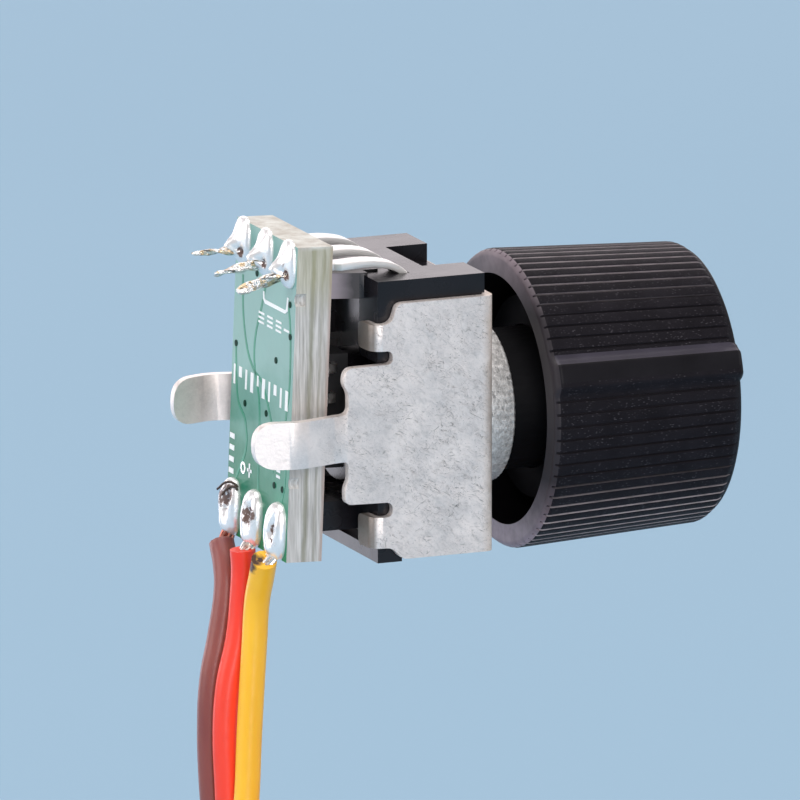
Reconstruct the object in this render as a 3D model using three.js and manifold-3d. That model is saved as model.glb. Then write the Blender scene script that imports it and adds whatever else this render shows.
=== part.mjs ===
// A small rotary encoder: a detented shaft in a moulded housing held by a folded tin-plate
// bracket, with a push-on fluted knob, a controller board soldered to its terminals and a
// three-wire lead that ends in a small plug.
//
// Units are millimetres. +X runs along the shaft towards the knob, +Z is up. The origin is on
// the shaft axis, at the outer face of the bracket's front plate.

import * as THREE from 'three';
import { mergeVertices } from 'three/addons/utils/BufferGeometryUtils.js';
import Module from 'manifold-3d';

const wasm = await Module();
wasm.setup();

// ---------------------------------------------------------------- driving dimensions

const SHEET = 0.4; // bracket sheet thickness
const BRACKET = { halfWidth: 4.7, top: 5.6, bottom: -5.4, rear: -4.45, bend: 0.5 };
const LUG = { halfHeight: 1.0, neck: -6.65, knee: -9.05, tip: -10.92, kneeOut: 0.55 };
const SHOULDER = { rear: -6.9, upper: 3.0, lower: -2.85 };
const TAB = { rear: -5.6, inner: 3.3, upper: [3.6, 4.73], lower: [-4.87, -3.54] };
const SLOT_END = -4.65; // where the slots beside the crimp tabs stop

const COLLAR = { radius: 3.45, front: 1.5, bore: 3.06 };
const SHAFT = { radius: 3.0, end: 9.0, shoulder: -0.95, tail: 1.5, tailEnd: -4.6 };
const FLAT = { height: 1.5, start: 4.5 }; // the D flat on the shaft

const KNOB = { rim: 2.1, front: 10.9, rimRadius: 6.38, frontRadius: 5.96, hollow: 5.26 };
const FLUTE = { count: 72, depth: 0.14, start: 2.1, end: 9.9 };
const RIDGE = { angle: 160, halfAngle: 7.5, height: 0.3 }; // the raised grip rib, degrees
const BOSS = { radius: 4.3, start: 3.4, floor: 9.4, ribs: 6, ribThickness: 0.7 };

const HOUSING = { front: -0.38, rear: -4.4, halfWidth: 4.25, top: 6.5, bottom: -5.6 };
const RAIL = { inner: 2.2, rear: -5.15, upper: 3.0, lower: -3.0 };
const CAVITY = { radius: 3.9, floor: -3.9, bearing: 1.56, bearingEnd: -4.75 };
const LEG = { halfWidth: 2.2, upper: [5.5, 6.6], lower: [-4.5, -3.25] };

const ROTOR = { front: -1.0, rear: -2.6, radius: 3.75, bore: 1.54, detents: 24 };
const CODE_DISC = { thickness: 0.15, inner: 1.7, root: 3.05, outer: 3.6, teeth: 12 };
const SPRING = { front: -0.45, thickness: 0.15, inner: 3.15, outer: 3.8 };

const PITCH = 2.5; // terminals and wire pads, along Y
const TERMINAL = { thickness: 0.3, width: 1.0, pinWidth: 0.6 };
const LANES = { near: -PITCH, middle: 0, far: PITCH };

const BOARD = { width: 6.7, height: 13.5, thickness: 1.6, x: -7.07, z: 1.25, lean: 2.3 };
const PIN_HOLE = { radius: 0.6, z: 6.85 };
const PIN_PAD = { z: 6.9, halfWidth: 0.68, halfHeight: 0.98, height: 0.55 };
const WIRE_PAD = { z: -4.2, halfWidth: 0.75, halfHeight: 1.02, height: 0.75 };
const CHIP = { z: 0.63, length: 4.9, width: 3.9, thickness: 1.35, standoff: 0.1, span: 6.0 };
const CHIP_LEAD = { pitch: 1.27, perSide: 4, width: 0.42, thickness: 0.2 };
const SMALL_PART = { length: 1.6, width: 0.8, height: 0.6, z: -2.35 };

const WIRE = { diameter: 1.1, gap: 1.15 };
const COIL = { x: -4.2, z: -25, radius: 6.0, turns: 3, advance: 3.6 };
const COIL_CLEAR = 4.0; // height from the coil's centre at which a straight wire meets it
const PLUG = { width: 7.62, thickness: 2.6, length: 14, top: -42, pitch: 2.54, wall: 1.6 };

// ---------------------------------------------------------------- materials

function finish(color, roughness, metalness = 0) {
  return new THREE.MeshStandardMaterial({ color, roughness, metalness });
}

const FINISH = {
  tinPlate: finish(0xbdbcb6, 0.42, 0.9),
  castZinc: finish(0xa9a8a4, 0.5, 0.9),
  platedStrip: finish(0xd6d4d0, 0.35, 1),
  shaftPlastic: finish(0x151517, 0.5),
  springBronze: finish(0xb48a4c, 0.35, 1),
  solder: finish(0xd8d6d2, 0.2, 1),
  knobPlastic: finish(0x242126, 0.55),
  housingPlastic: finish(0x131216, 0.18),
  rotorPlastic: finish(0xd9d5c8, 0.5),
  boardGreen: finish(0x2f8d68, 0.3),
  chipBlack: finish(0x1b1b1d, 0.45),
  ceramic: finish(0x8a6f52, 0.4),
  brown: finish(0x6e3b38, 0.45),
  red: finish(0xf4402c, 0.4),
  yellow: finish(0xf8b52c, 0.4),
  tieWhite: finish(0xd9d9d4, 0.5),
  plugBlack: finish(0x1c1c1e, 0.5),
};

// ---------------------------------------------------------------- geometry helpers

const TO_X_AXIS = new THREE.Matrix4().makeBasis(
  new THREE.Vector3(0, 1, 0),
  new THREE.Vector3(1, 0, 0),
  new THREE.Vector3(0, 0, -1),
);
const YZ_TO_X = new THREE.Matrix4().makeBasis(
  new THREE.Vector3(0, 1, 0),
  new THREE.Vector3(0, 0, 1),
  new THREE.Vector3(1, 0, 0),
);

// Keeps positions only, joins shared vertices and drops triangles that have collapsed.
function weld(geometry) {
  const bare = new THREE.BufferGeometry();
  bare.setAttribute('position', geometry.getAttribute('position').clone());
  if (geometry.index) bare.setIndex(geometry.index.clone());
  const merged = mergeVertices(bare, 1e-4);
  const index = merged.index.array;
  const kept = [];
  for (let i = 0; i < index.length; i += 3) {
    const [a, b, c] = [index[i], index[i + 1], index[i + 2]];
    if (a !== b && b !== c && c !== a) kept.push(a, b, c);
  }
  merged.setIndex(kept);
  return merged;
}

function toSolid(geometry) {
  const welded = weld(geometry);
  return new wasm.Manifold(new wasm.Mesh({
    numProp: 3,
    vertProperties: new Float32Array(welded.getAttribute('position').array),
    triVerts: new Uint32Array(welded.index.array),
  }));
}

function toGeometry(solid) {
  const mesh = solid.getMesh();
  const geometry = new THREE.BufferGeometry();
  geometry.setAttribute('position', new THREE.BufferAttribute(mesh.vertProperties, 3));
  geometry.setIndex(new THREE.BufferAttribute(mesh.triVerts, 1));
  return geometry;
}

function join(...geometries) {
  return toGeometry(geometries.map(toSolid).reduce((whole, part) => whole.add(part)));
}

function cut(body, ...tools) {
  return toGeometry(tools.map(toSolid).reduce((left, tool) => left.subtract(tool), toSolid(body)));
}

function overlapOf(a, b) {
  return toGeometry(toSolid(a).intersect(toSolid(b)));
}

// A box given by its two limits along each axis.
function block([x0, x1], [y0, y1], [z0, z1]) {
  const box = new THREE.BoxGeometry(Math.abs(x1 - x0), Math.abs(y1 - y0), Math.abs(z1 - z0));
  return box.translate((x0 + x1) / 2, (y0 + y1) / 2, (z0 + z1) / 2);
}

// A solid of revolution about the X axis. The profile is a list of [x, r], and its outer side
// runs towards +X.
function turned(profile, segments) {
  const points = profile.map(([x, r]) => new THREE.Vector2(r, x));
  return new THREE.LatheGeometry(points, segments).applyMatrix4(TO_X_AXIS);
}

function rod(x0, x1, radius, segments) {
  return turned([[x0, 0], [x0, radius], [x1, radius], [x1, 0]], segments);
}

// A closed outline whose corners are [u, v, radius].
function outline(corners) {
  const shape = new THREE.Shape();
  const count = corners.length;
  corners.forEach(([u, v, radius = 0], i) => {
    const corner = new THREE.Vector2(u, v);
    const before = new THREE.Vector2(...corners[(i + count - 1) % count]).sub(corner);
    const after = new THREE.Vector2(...corners[(i + 1) % count]).sub(corner);
    const start = corner.clone().add(before.setLength(radius));
    const end = corner.clone().add(after.setLength(radius));
    if (i === 0) shape.moveTo(start.x, start.y);
    else shape.lineTo(start.x, start.y);
    if (radius > 0) shape.quadraticCurveTo(u, v, end.x, end.y);
  });
  shape.closePath();
  return shape;
}

function extrude(shape, depth, curveSegments = 3) {
  return new THREE.ExtrudeGeometry(shape, { depth, curveSegments, bevelEnabled: false });
}

// Extrusions of an outline drawn in the XZ, YZ and XY planes.
function slabAlongY(shape, y0, y1, curveSegments) {
  return extrude(shape, y1 - y0, curveSegments).rotateX(Math.PI / 2).translate(0, y1, 0);
}

function slabAlongX(shape, x0, x1, curveSegments) {
  return extrude(shape, x1 - x0, curveSegments).applyMatrix4(YZ_TO_X).translate(x0, 0, 0);
}

function slabAlongZ(shape, z0, z1, curveSegments) {
  return extrude(shape, z1 - z0, curveSegments).translate(0, 0, z0);
}

// The outline of a strip of even thickness that follows a smooth line through the points.
function stripOutline(points, thickness, steps) {
  const line = new THREE.SplineCurve(points.map(([u, v]) => new THREE.Vector2(u, v)));
  const left = [];
  const right = [];
  for (let i = 0; i <= steps; i += 1) {
    const at = line.getPointAt(i / steps);
    const along = line.getTangentAt(i / steps);
    const side = new THREE.Vector2(-along.y, along.x).multiplyScalar(thickness / 2);
    left.push(at.clone().add(side));
    right.unshift(at.clone().sub(side));
  }
  return new THREE.Shape([...left, ...right]);
}

function tube(points, diameter, steps) {
  const route = new THREE.CatmullRomCurve3(points.map((p) => new THREE.Vector3(...p)));
  const sides = 8;
  const ring = [];
  for (let i = 0; i < sides; i += 1) {
    const angle = (i / sides) * 2 * Math.PI;
    ring.push(new THREE.Vector2(Math.cos(angle), Math.sin(angle)).multiplyScalar(diameter / 2));
  }
  return new THREE.ExtrudeGeometry(new THREE.Shape(ring), { steps, extrudePath: route });
}

function piece(name, geometry, material) {
  const mesh = new THREE.Mesh(geometry, material);
  mesh.name = name;
  return mesh;
}

// ---------------------------------------------------------------- bracket

// The bracket's section seen from above: front plate, two sides and the kneed solder lugs.
function bracketSection() {
  const side = BRACKET.halfWidth;
  const knee = side + LUG.kneeOut;
  const half = [
    [0, side - BRACKET.bend],
    [-BRACKET.bend * 0.3, side - BRACKET.bend * 0.3],
    [-BRACKET.bend, side],
    [LUG.neck - 0.4, side],
    [LUG.knee, knee],
    [LUG.tip, side],
    [LUG.tip, side - SHEET],
    [LUG.knee, knee - SHEET],
    [LUG.neck - 0.4, side - SHEET],
    [-SHEET, side - SHEET],
  ];
  const mirrored = half.map(([x, y]) => [x, -y]).reverse();
  return outline([...half, ...mirrored]);
}

// The side plates seen from the side, before the crimp tabs are added.
function bracketSideOutline() {
  const { top, bottom, rear } = BRACKET;
  return outline([
    [1, bottom],
    [1, top],
    [rear, top, 0.3],
    [rear - 0.05, TAB.upper[1] - 0.1, 0.15],
    [SLOT_END, SHOULDER.upper + 0.3, 0.1],
    [SLOT_END, SHOULDER.upper, 0.1],
    [SHOULDER.rear + 0.1, SHOULDER.upper, 0.3],
    [SHOULDER.rear, SHOULDER.upper - 0.7, 0.2],
    [LUG.neck, 2.0, 0.2],
    [LUG.neck, LUG.halfHeight, 0.2],
    [LUG.knee, LUG.halfHeight, 0.1],
    [LUG.tip, LUG.halfHeight, 0.95],
    [LUG.tip, -LUG.halfHeight, 0.95],
    [LUG.knee, -LUG.halfHeight, 0.1],
    [LUG.neck, -LUG.halfHeight, 0.2],
    [LUG.neck, -1.85, 0.15],
    [SHOULDER.rear + 0.1, -2.1, 0.15],
    [SHOULDER.rear + 0.1, SHOULDER.lower, 0.25],
    [SLOT_END, SHOULDER.lower, 0.1],
    [SLOT_END, SHOULDER.lower - 0.4, 0.1],
    [rear, TAB.lower[0] + 0.1, 0.1],
    [rear + 0.2, bottom, 0.2],
  ]);
}

// A crimp tab: it leaves the side plate, turns a quarter round and lies behind the housing.
function crimpTab(side, [z0, z1]) {
  const outer = BRACKET.halfWidth;
  const shape = outline([
    [-4.3, outer - SHEET],
    [-4.3, outer],
    [TAB.rear, outer, 0.7],
    [TAB.rear, TAB.inner, 0.1],
    [TAB.rear + SHEET, TAB.inner, 0.1],
    [TAB.rear + SHEET, outer - SHEET, 0.12],
  ]);
  const tab = slabAlongZ(shape, z0, z1, 4);
  return side > 0 ? tab : tab.rotateX(Math.PI).translate(0, 0, z0 + z1);
}

function frameBracket() {
  const { top, bottom, halfWidth } = BRACKET;
  const channel = slabAlongZ(bracketSection(), bottom - 1, top + 1);
  const sides = slabAlongY(bracketSideOutline(), -halfWidth - 1, halfWidth + 1);
  const tabs = [-1, 1].flatMap((side) => [crimpTab(side, TAB.upper), crimpTab(side, TAB.lower)]);
  const folded = join(overlapOf(channel, sides), ...tabs);
  return cut(folded, rod(-1, 1, COLLAR.radius + 0.03, 48));
}

// ---------------------------------------------------------------- shaft, collar and rotor

function bushingCollar() {
  const { radius, front, bore } = COLLAR;
  return turned([
    [-SHEET, bore],
    [-SHEET, radius],
    [front - 0.15, radius],
    [front, radius - 0.15],
    [front, bore],
    [-SHEET, bore],
  ], 48);
}

function shaft() {
  const { radius, end, shoulder, tail, tailEnd } = SHAFT;
  const body = turned([
    [tailEnd, 0],
    [tailEnd, tail],
    [shoulder, tail],
    [shoulder, radius],
    [end - 0.4, radius],
    [end, radius - 0.4],
    [end, 0],
  ], 48);
  return cut(body, block([FLAT.start, end + 1], [-radius, radius], [FLAT.height, radius + 1]));
}

// The detent wheel that carries the code disc, with radial notches in its front face.
function rotorHub() {
  const { front, rear, radius, bore, detents } = ROTOR;
  const wheel = turned([
    [rear, bore],
    [rear, radius],
    [front, radius],
    [front, bore],
    [rear, bore],
  ], 48);
  const notches = [];
  for (let i = 0; i < detents; i += 1) {
    const notch = block([front - 0.2, front + 0.1], [3.1, radius + 0.2], [-0.2, 0.2]);
    notches.push(notch.rotateX((i / detents) * 2 * Math.PI));
  }
  return cut(wheel, ...notches);
}

function codeDisc() {
  const { thickness, inner, root, outer, teeth } = CODE_DISC;
  const rim = [];
  for (let i = 0; i < teeth; i += 1) {
    [[0, root], [0.08, outer], [0.5, outer], [0.58, root]].forEach(([share, r]) => {
      const angle = ((i + share) / teeth) * 2 * Math.PI;
      rim.push(new THREE.Vector2(r * Math.cos(angle), r * Math.sin(angle)));
    });
  }
  const shape = new THREE.Shape(rim);
  shape.holes.push(new THREE.Path().absarc(0, 0, inner, 0, 2 * Math.PI, true));
  const rear = ROTOR.rear - 0.02;
  return slabAlongX(shape, rear - thickness, rear, 8);
}

// A flat spring ring behind the front plate, with two pips that ride over the detent notches.
function detentSpring() {
  const { front, thickness, inner, outer } = SPRING;
  const ring = turned([
    [front - thickness, inner],
    [front - thickness, outer],
    [front, outer],
    [front, inner],
    [front - thickness, inner],
  ], 36);
  const middle = (inner + outer) / 2;
  const pips = [-1, 1].map((side) => {
    const pip = turned([[-0.37, 0], [-0.3, 0.16], [0.05, 0.24], [0.05, 0]], 10);
    return pip.translate(front - thickness, 0, side * middle);
  });
  return join(ring, ...pips);
}

// ---------------------------------------------------------------- terminals and housing

// A terminal seen from the side: contact finger, leg through the housing roof, arch and pin.
// droop is how far the pin's tip hangs below the hole in the board.
function terminalLine(lane, droop) {
  const fingerTip = Math.abs(lane) > 0 ? 1.5 : 2.3;
  return [
    [-2.97, fingerTip],
    [-3.1, fingerTip + 1.2],
    [-3.12, 5.2],
    [-3.2, 6.1],
    [-3.75, 6.72],
    [-4.8, 6.98],
    [-6.0, 6.98],
    [-7.4, 6.88],
    [-9.2, PIN_HOLE.z - droop * 0.35],
    [LUG.tip + 0.1, PIN_HOLE.z - droop],
  ];
}

function terminal(lane, droop) {
  const { thickness, width, pinWidth } = TERMINAL;
  const shape = stripOutline(terminalLine(lane, droop), thickness, 26);
  const wide = slabAlongY(shape, lane - width / 2, lane + width / 2);
  const narrow = slabAlongY(shape, lane - pinWidth / 2, lane + pinWidth / 2);
  const wideZone = block([-6.6, -2], [-5, 5], [5.0, 8]);
  return join(overlapOf(wide, wideZone), narrow);
}

// The space that a terminal needs in the housing.
function terminalSlot(lane) {
  const { thickness, width } = TERMINAL;
  const shape = stripOutline(terminalLine(lane, 0), thickness + 0.12, 26);
  return slabAlongY(shape, lane - width / 2 - 0.06, lane + width / 2 + 0.06);
}

function housing() {
  const { front, rear, halfWidth, top, bottom } = HOUSING;
  const across = [-halfWidth, halfWidth];
  const roofFront = -0.3;
  const parts = [
    block([rear, front - 0.05], across, [bottom, top]),
    block([rear, roofFront], across, [BRACKET.top + 0.05, top]),
    block([RAIL.rear, rear + 0.1], across, [bottom, bottom + 0.55]),
    rod(-5.35, rear + 0.1, 2.8, 32),
    block([-6.72, rear + 0.1], [-LEG.halfWidth, LEG.halfWidth], LEG.upper),
    block([-7.2, rear + 0.1], [-LEG.halfWidth, LEG.halfWidth], LEG.lower),
  ];
  for (const side of [-1, 1]) {
    const rail = [side * RAIL.inner, side * halfWidth];
    parts.push(block([RAIL.rear, rear + 0.1], rail, [RAIL.upper, top]));
    parts.push(block([RAIL.rear, rear + 0.1], rail, [bottom, RAIL.lower]));
  }
  const rotorSpace = turned([
    [CAVITY.bearingEnd, 0],
    [CAVITY.bearingEnd, CAVITY.bearing],
    [CAVITY.floor, CAVITY.bearing],
    [CAVITY.floor, CAVITY.radius],
    [0, CAVITY.radius],
    [0, 0],
  ], 40);
  const roofPocket = block([-2.2, 0.1], [-2.0, 2.0], [BRACKET.top + 0.15, top + 1]);
  const slots = Object.values(LANES).map(terminalSlot);
  return cut(join(...parts), rotorSpace, roofPocket, ...slots);
}

// ---------------------------------------------------------------- board and its parts

// Everything on the board is placed from the centre of its front face, which faces +X.
const onBoard = (z) => z - BOARD.z;

function circuitBoard() {
  const { width, height, thickness } = BOARD;
  const board = block([-thickness, 0], [-width / 2, width / 2], [-height / 2, height / 2]);
  const holes = Object.values(LANES).map((lane) => {
    const hole = rod(-thickness - 1, 1, PIN_HOLE.radius, 16);
    return hole.translate(0, lane, onBoard(PIN_HOLE.z));
  });
  return cut(board, ...holes);
}

// A domed solder joint on the board's rear face.
function solderDome({ z, halfWidth, halfHeight, height }, lane) {
  const profile = [[-1, 0], [-0.92, 0.38], [-0.7, 0.7], [-0.4, 0.9], [0, 1], [0, 0]];
  const dome = turned(profile, 20).scale(height, halfWidth, halfHeight);
  return dome.translate(-BOARD.thickness - 0.02, lane, onBoard(z));
}

function terminalSolder(lane) {
  const reach = TERMINAL.pinWidth / 2 + 0.06;
  const z = onBoard(PIN_HOLE.z);
  const pinSpace = block([-4, 0], [lane - reach, lane + reach], [z - 0.5, z + 0.32]);
  return cut(solderDome(PIN_PAD, lane), pinSpace);
}

// A gull-wing lead seen along the board: foot, leg and shoulder.
function chipLead(side, z) {
  const { thickness, width } = CHIP_LEAD;
  const middle = CHIP.standoff + CHIP.thickness / 2;
  const inner = CHIP.width / 2 - 0.1;
  const outer = CHIP.span / 2;
  const shape = outline([
    [side * inner, middle - thickness / 2],
    [side * (inner + 0.55), middle - thickness / 2],
    [side * (outer - 0.45), 0.02],
    [side * outer, 0.02],
    [side * outer, 0.02 + thickness],
    [side * (outer - 0.35), 0.02 + thickness],
    [side * (inner + 0.65), middle + thickness / 2],
    [side * inner, middle + thickness / 2],
  ]);
  const lead = slabAlongZ(shape, z - width / 2, z + width / 2);
  return lead.applyMatrix4(TO_X_AXIS);
}

function controllerChip() {
  const { length, width, thickness, standoff, z } = CHIP;
  const rise = [standoff, standoff + thickness];
  const body = block(rise, [-width / 2, width / 2], [-length / 2, length / 2]);
  const leads = [];
  for (const side of [-1, 1]) {
    for (let i = 0; i < CHIP_LEAD.perSide; i += 1) {
      leads.push(chipLead(side, (i - (CHIP_LEAD.perSide - 1) / 2) * CHIP_LEAD.pitch));
    }
  }
  return join(body, ...leads).translate(0, 0, onBoard(z));
}

// A two-ended ceramic part whose metal ends stand a little proud of its body.
function smallPart(y) {
  const { length, width, height, z } = SMALL_PART;
  const end = 0.3;
  const body = block([0.05, height], [-length / 2, length / 2], [-width / 2 + 0.04, width / 2 - 0.04]);
  const caps = [-1, 1].map((side) => block(
    [0.02, height + 0.03],
    [side * (length / 2 - end), side * length / 2],
    [-width / 2, width / 2],
  ));
  return join(body, ...caps).translate(0, y, onBoard(z));
}

// ---------------------------------------------------------------- knob

// Presses the flutes and the grip rib into a smooth surface of revolution about X.
function fluted(geometry) {
  const position = geometry.getAttribute('position');
  const stepDegrees = 180 / FLUTE.count;
  for (let i = 0; i < position.count; i += 1) {
    const [x, y, z] = [position.getX(i), position.getY(i), position.getZ(i)];
    const radius = Math.hypot(y, z);
    const along = x >= FLUTE.start && x <= FLUTE.end + 1e-3;
    if (radius > 1 && along) {
      const degrees = THREE.MathUtils.radToDeg(Math.atan2(z, y));
      const fromRidge = Math.abs(degrees - RIDGE.angle);
      const inGroove = Math.abs(Math.round(degrees / stepDegrees)) % 2 === 0;
      let change = inGroove ? -FLUTE.depth : 0;
      if (fromRidge < RIDGE.halfAngle - 1) change = RIDGE.height;
      else if (fromRidge < RIDGE.halfAngle + 1) change = 0;
      const scale = (radius + change) / radius;
      position.setXYZ(i, x, y * scale, z * scale);
    }
  }
  return geometry;
}

function knob() {
  const { rim, front, rimRadius, frontRadius, hollow } = KNOB;
  const skin = fluted(turned([
    [rim, 0],
    [rim, rimRadius],
    [FLUTE.end, frontRadius],
    [front - 0.3, frontRadius - 0.04],
    [front, frontRadius - 0.28],
    [front, 0],
  ], 2 * FLUTE.count));
  const hollowRing = turned([
    [rim - 1, 0],
    [rim - 1, hollow],
    [BOSS.floor, hollow - 0.15],
    [BOSS.floor, BOSS.radius],
    [BOSS.start, BOSS.radius],
    [BOSS.start, 0],
  ], 48);
  const ribs = [];
  for (let i = 0; i < BOSS.ribs; i += 1) {
    const half = BOSS.ribThickness / 2;
    const rib = block([5.2, BOSS.floor + 0.1], [BOSS.radius - 0.3, hollow + 0.2], [-half, half]);
    ribs.push(rib.rotateX(((i + 0.5) / BOSS.ribs) * 2 * Math.PI));
  }
  const bore = cut(
    rod(BOSS.start - 1, SHAFT.end + 0.1, SHAFT.radius + 0.06, 48),
    block([FLAT.start + 0.1, front], [-4, 4], [FLAT.height + 0.05, 4]),
  );
  return cut(skin, cut(hollowRing, ...ribs), bore);
}

// ---------------------------------------------------------------- lead

// Each wire leaves its pad at the foot of the board. The three draw together, swing back and
// hang side by side down to the coil, where they run down its -X side.
const COIL_ENTRY_X = COIL.x - COIL.radius;
const ROUTES = {
  brown: [
    [-9.5, 2.45, -5.75], [-9.62, 1.75, -6.5], [-9.75, 1.3, -7.4], [-10.1, 1.12, -9.3],
    [-10.5, 1.1, -11.3], [-10.6, 1.12, -13.3], [-10.5, 1.15, -16], [-10.3, 1.15, -18.2],
  ],
  red: [
    [-9.55, 0, -5.5], [-9.5, 0, -6.3], [-9.55, 0, -7.4], [-9.75, 0, -9.3],
    [-10.2, 0, -11.3], [-10.35, 0, -13.3], [-10.25, 0, -16], [-10.2, 0, -18.2],
  ],
  yellow: [
    [-9.55, -2.4, -5.45], [-9.45, -1.85, -6.3], [-9.42, -1.3, -7.4], [-9.48, -1.13, -9.3],
    [-9.6, -1.12, -11.3], [-9.72, -1.13, -13.3], [-9.85, -1.15, -16], [-10.05, -1.15, -18.2],
  ],
};
const LANE_ORDER = { brown: 1, red: 0, yellow: -1 };

function upperWire(colour) {
  const end = [COIL_ENTRY_X, LANE_ORDER[colour] * WIRE.gap, COIL.z + COIL_CLEAR];
  return tube([...ROUTES[colour], end], WIRE.diameter, 8);
}

// From the coil down to the plug, spreading to the plug's pitch.
function wireTail(colour) {
  const order = LANE_ORDER[colour];
  const middle = -COIL.turns * COIL.advance;
  const start = COIL.z - COIL_CLEAR;
  return tube([
    [COIL_ENTRY_X, middle + order * WIRE.gap, start],
    [COIL_ENTRY_X, middle + order * WIRE.gap, start - 4],
    [COIL_ENTRY_X, middle + order * 1.9, start - 8],
    [COIL_ENTRY_X, middle + order * PLUG.pitch, PLUG.top + 0.3],
  ], WIRE.diameter, 6);
}

const COIL_SIDES = [WIRE.gap + 0.65, -COIL.turns * COIL.advance - WIRE.gap - 0.65];

// The outer shape of the wound turns: a ring about a line along Y.
function leadCoil() {
  const inner = COIL.radius - WIRE.diameter / 2;
  const outer = COIL.radius + WIRE.diameter / 2;
  const [near, far] = [COIL_SIDES[1], COIL_SIDES[0]];
  const ring = new THREE.LatheGeometry([
    new THREE.Vector2(inner, near),
    new THREE.Vector2(outer, near),
    new THREE.Vector2(outer, far),
    new THREE.Vector2(inner, far),
    new THREE.Vector2(inner, near),
  ], 36);
  return ring.translate(COIL.x, 0, COIL.z);
}

// A strap round the wound turns on the side away from the incoming wires.
function coilTie() {
  const thickness = 0.5;
  const clearance = 0.25;
  const reach = WIRE.diameter / 2 + clearance;
  const x = COIL.x + COIL.radius;
  const strap = outline([
    [x - reach - thickness, COIL_SIDES[1] - clearance - thickness, 0.6],
    [x + reach + thickness, COIL_SIDES[1] - clearance - thickness, 0.6],
    [x + reach + thickness, COIL_SIDES[0] + clearance + thickness, 0.6],
    [x - reach - thickness, COIL_SIDES[0] + clearance + thickness, 0.6],
  ]);
  const opening = block(
    [x - reach, x + reach],
    [COIL_SIDES[1] - clearance, COIL_SIDES[0] + clearance],
    [COIL.z - 3, COIL.z + 3],
  );
  return cut(slabAlongZ(strap, COIL.z - 1.1, COIL.z + 1.1), opening);
}

const PLUG_Y = -COIL.turns * COIL.advance;
const PLUG_LANES = [1, 0, -1].map((order) => PLUG_Y + order * PLUG.pitch);

// The socket housing: three cells open at the top for the wires and at the bottom for pins.
function plugHousing() {
  const { width, thickness, length, top, wall } = PLUG;
  const [x0, x1] = [COIL_ENTRY_X - thickness / 2, COIL_ENTRY_X + thickness / 2];
  const foot = top - length;
  const body = block([x0, x1], [PLUG_Y - width / 2, PLUG_Y + width / 2], [foot, top]);
  const cells = PLUG_LANES.flatMap((y) => [
    block([COIL_ENTRY_X - 0.8, COIL_ENTRY_X + 0.8], [y - 0.8, y + 0.8], [foot + wall, top + 1]),
    block([COIL_ENTRY_X - 0.45, COIL_ENTRY_X + 0.45], [y - 0.45, y + 0.45], [foot - 1, top]),
  ]);
  return cut(body, ...cells);
}

function plugContact(y) {
  const foot = PLUG.top - PLUG.length + PLUG.wall + 0.2;
  const x = COIL_ENTRY_X;
  const barrel = block([x - 0.65, x + 0.65], [y - 0.65, y + 0.65], [foot, foot + 6]);
  return cut(barrel, block([x - 0.4, x + 0.4], [y - 0.4, y + 0.4], [foot - 1, foot + 5]));
}

// ---------------------------------------------------------------- assembly

const encoder = new THREE.Group();
encoder.name = 'rotary_encoder';

const fixed = new THREE.Group();
fixed.add(piece('frame_bracket', frameBracket(), FINISH.tinPlate));
fixed.add(piece('bushing_collar', bushingCollar(), FINISH.castZinc));
fixed.add(piece('housing', housing(), FINISH.housingPlastic));
fixed.add(piece('detent_spring', detentSpring(), FINISH.springBronze));
fixed.add(piece('terminal_a', terminal(LANES.near, 0.64), FINISH.platedStrip));
fixed.add(piece('terminal_common', terminal(LANES.middle, 0.42), FINISH.platedStrip));
fixed.add(piece('terminal_b', terminal(LANES.far, 0.02), FINISH.platedStrip));

const turning = new THREE.Group();
turning.add(piece('shaft', shaft(), FINISH.shaftPlastic));
turning.add(piece('rotor_hub', rotorHub(), FINISH.rotorPlastic));
turning.add(piece('code_disc', codeDisc(), FINISH.springBronze));
turning.add(piece('knob', knob(), FINISH.knobPlastic));

const board = new THREE.Group();
board.position.set(BOARD.x, 0, BOARD.z);
board.rotation.y = THREE.MathUtils.degToRad(BOARD.lean);
board.add(piece('circuit_board', circuitBoard(), FINISH.boardGreen));
board.add(piece('controller_chip', controllerChip(), FINISH.chipBlack));
board.add(piece('chip_capacitor', smallPart(-1.0), FINISH.ceramic));
board.add(piece('chip_resistor', smallPart(1.6), FINISH.chipBlack));
board.add(piece('terminal_solder_a', terminalSolder(LANES.near), FINISH.solder));
board.add(piece('terminal_solder_common', terminalSolder(LANES.middle), FINISH.solder));
board.add(piece('terminal_solder_b', terminalSolder(LANES.far), FINISH.solder));
board.add(piece('wire_solder_brown', solderDome(WIRE_PAD, LANES.far), FINISH.solder));
board.add(piece('wire_solder_red', solderDome(WIRE_PAD, LANES.middle), FINISH.solder));
board.add(piece('wire_solder_yellow', solderDome(WIRE_PAD, LANES.near), FINISH.solder));

const lead = new THREE.Group();
for (const colour of Object.keys(LANE_ORDER)) {
  lead.add(piece(`wire_${colour}`, upperWire(colour), FINISH[colour]));
  lead.add(piece(`wire_tail_${colour}`, wireTail(colour), FINISH[colour]));
}
lead.add(piece('lead_coil', leadCoil(), FINISH.red));
lead.add(piece('coil_tie', coilTie(), FINISH.tieWhite));
lead.add(piece('plug_housing', plugHousing(), FINISH.plugBlack));
PLUG_LANES.forEach((y, i) => {
  lead.add(piece(`plug_contact_${i + 1}`, plugContact(y), FINISH.springBronze));
});

encoder.add(fixed, turning, board, lead);

export default encoder;
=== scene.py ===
"""The finished look of a small rotary encoder with its knob, controller board and lead.

Lengths are written in millimetres and turned into metres as each mesh is made. +X runs along
the shaft towards the knob, +Z is up, and the origin is on the shaft axis at the outer face of
the bracket's front plate.
"""

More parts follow.
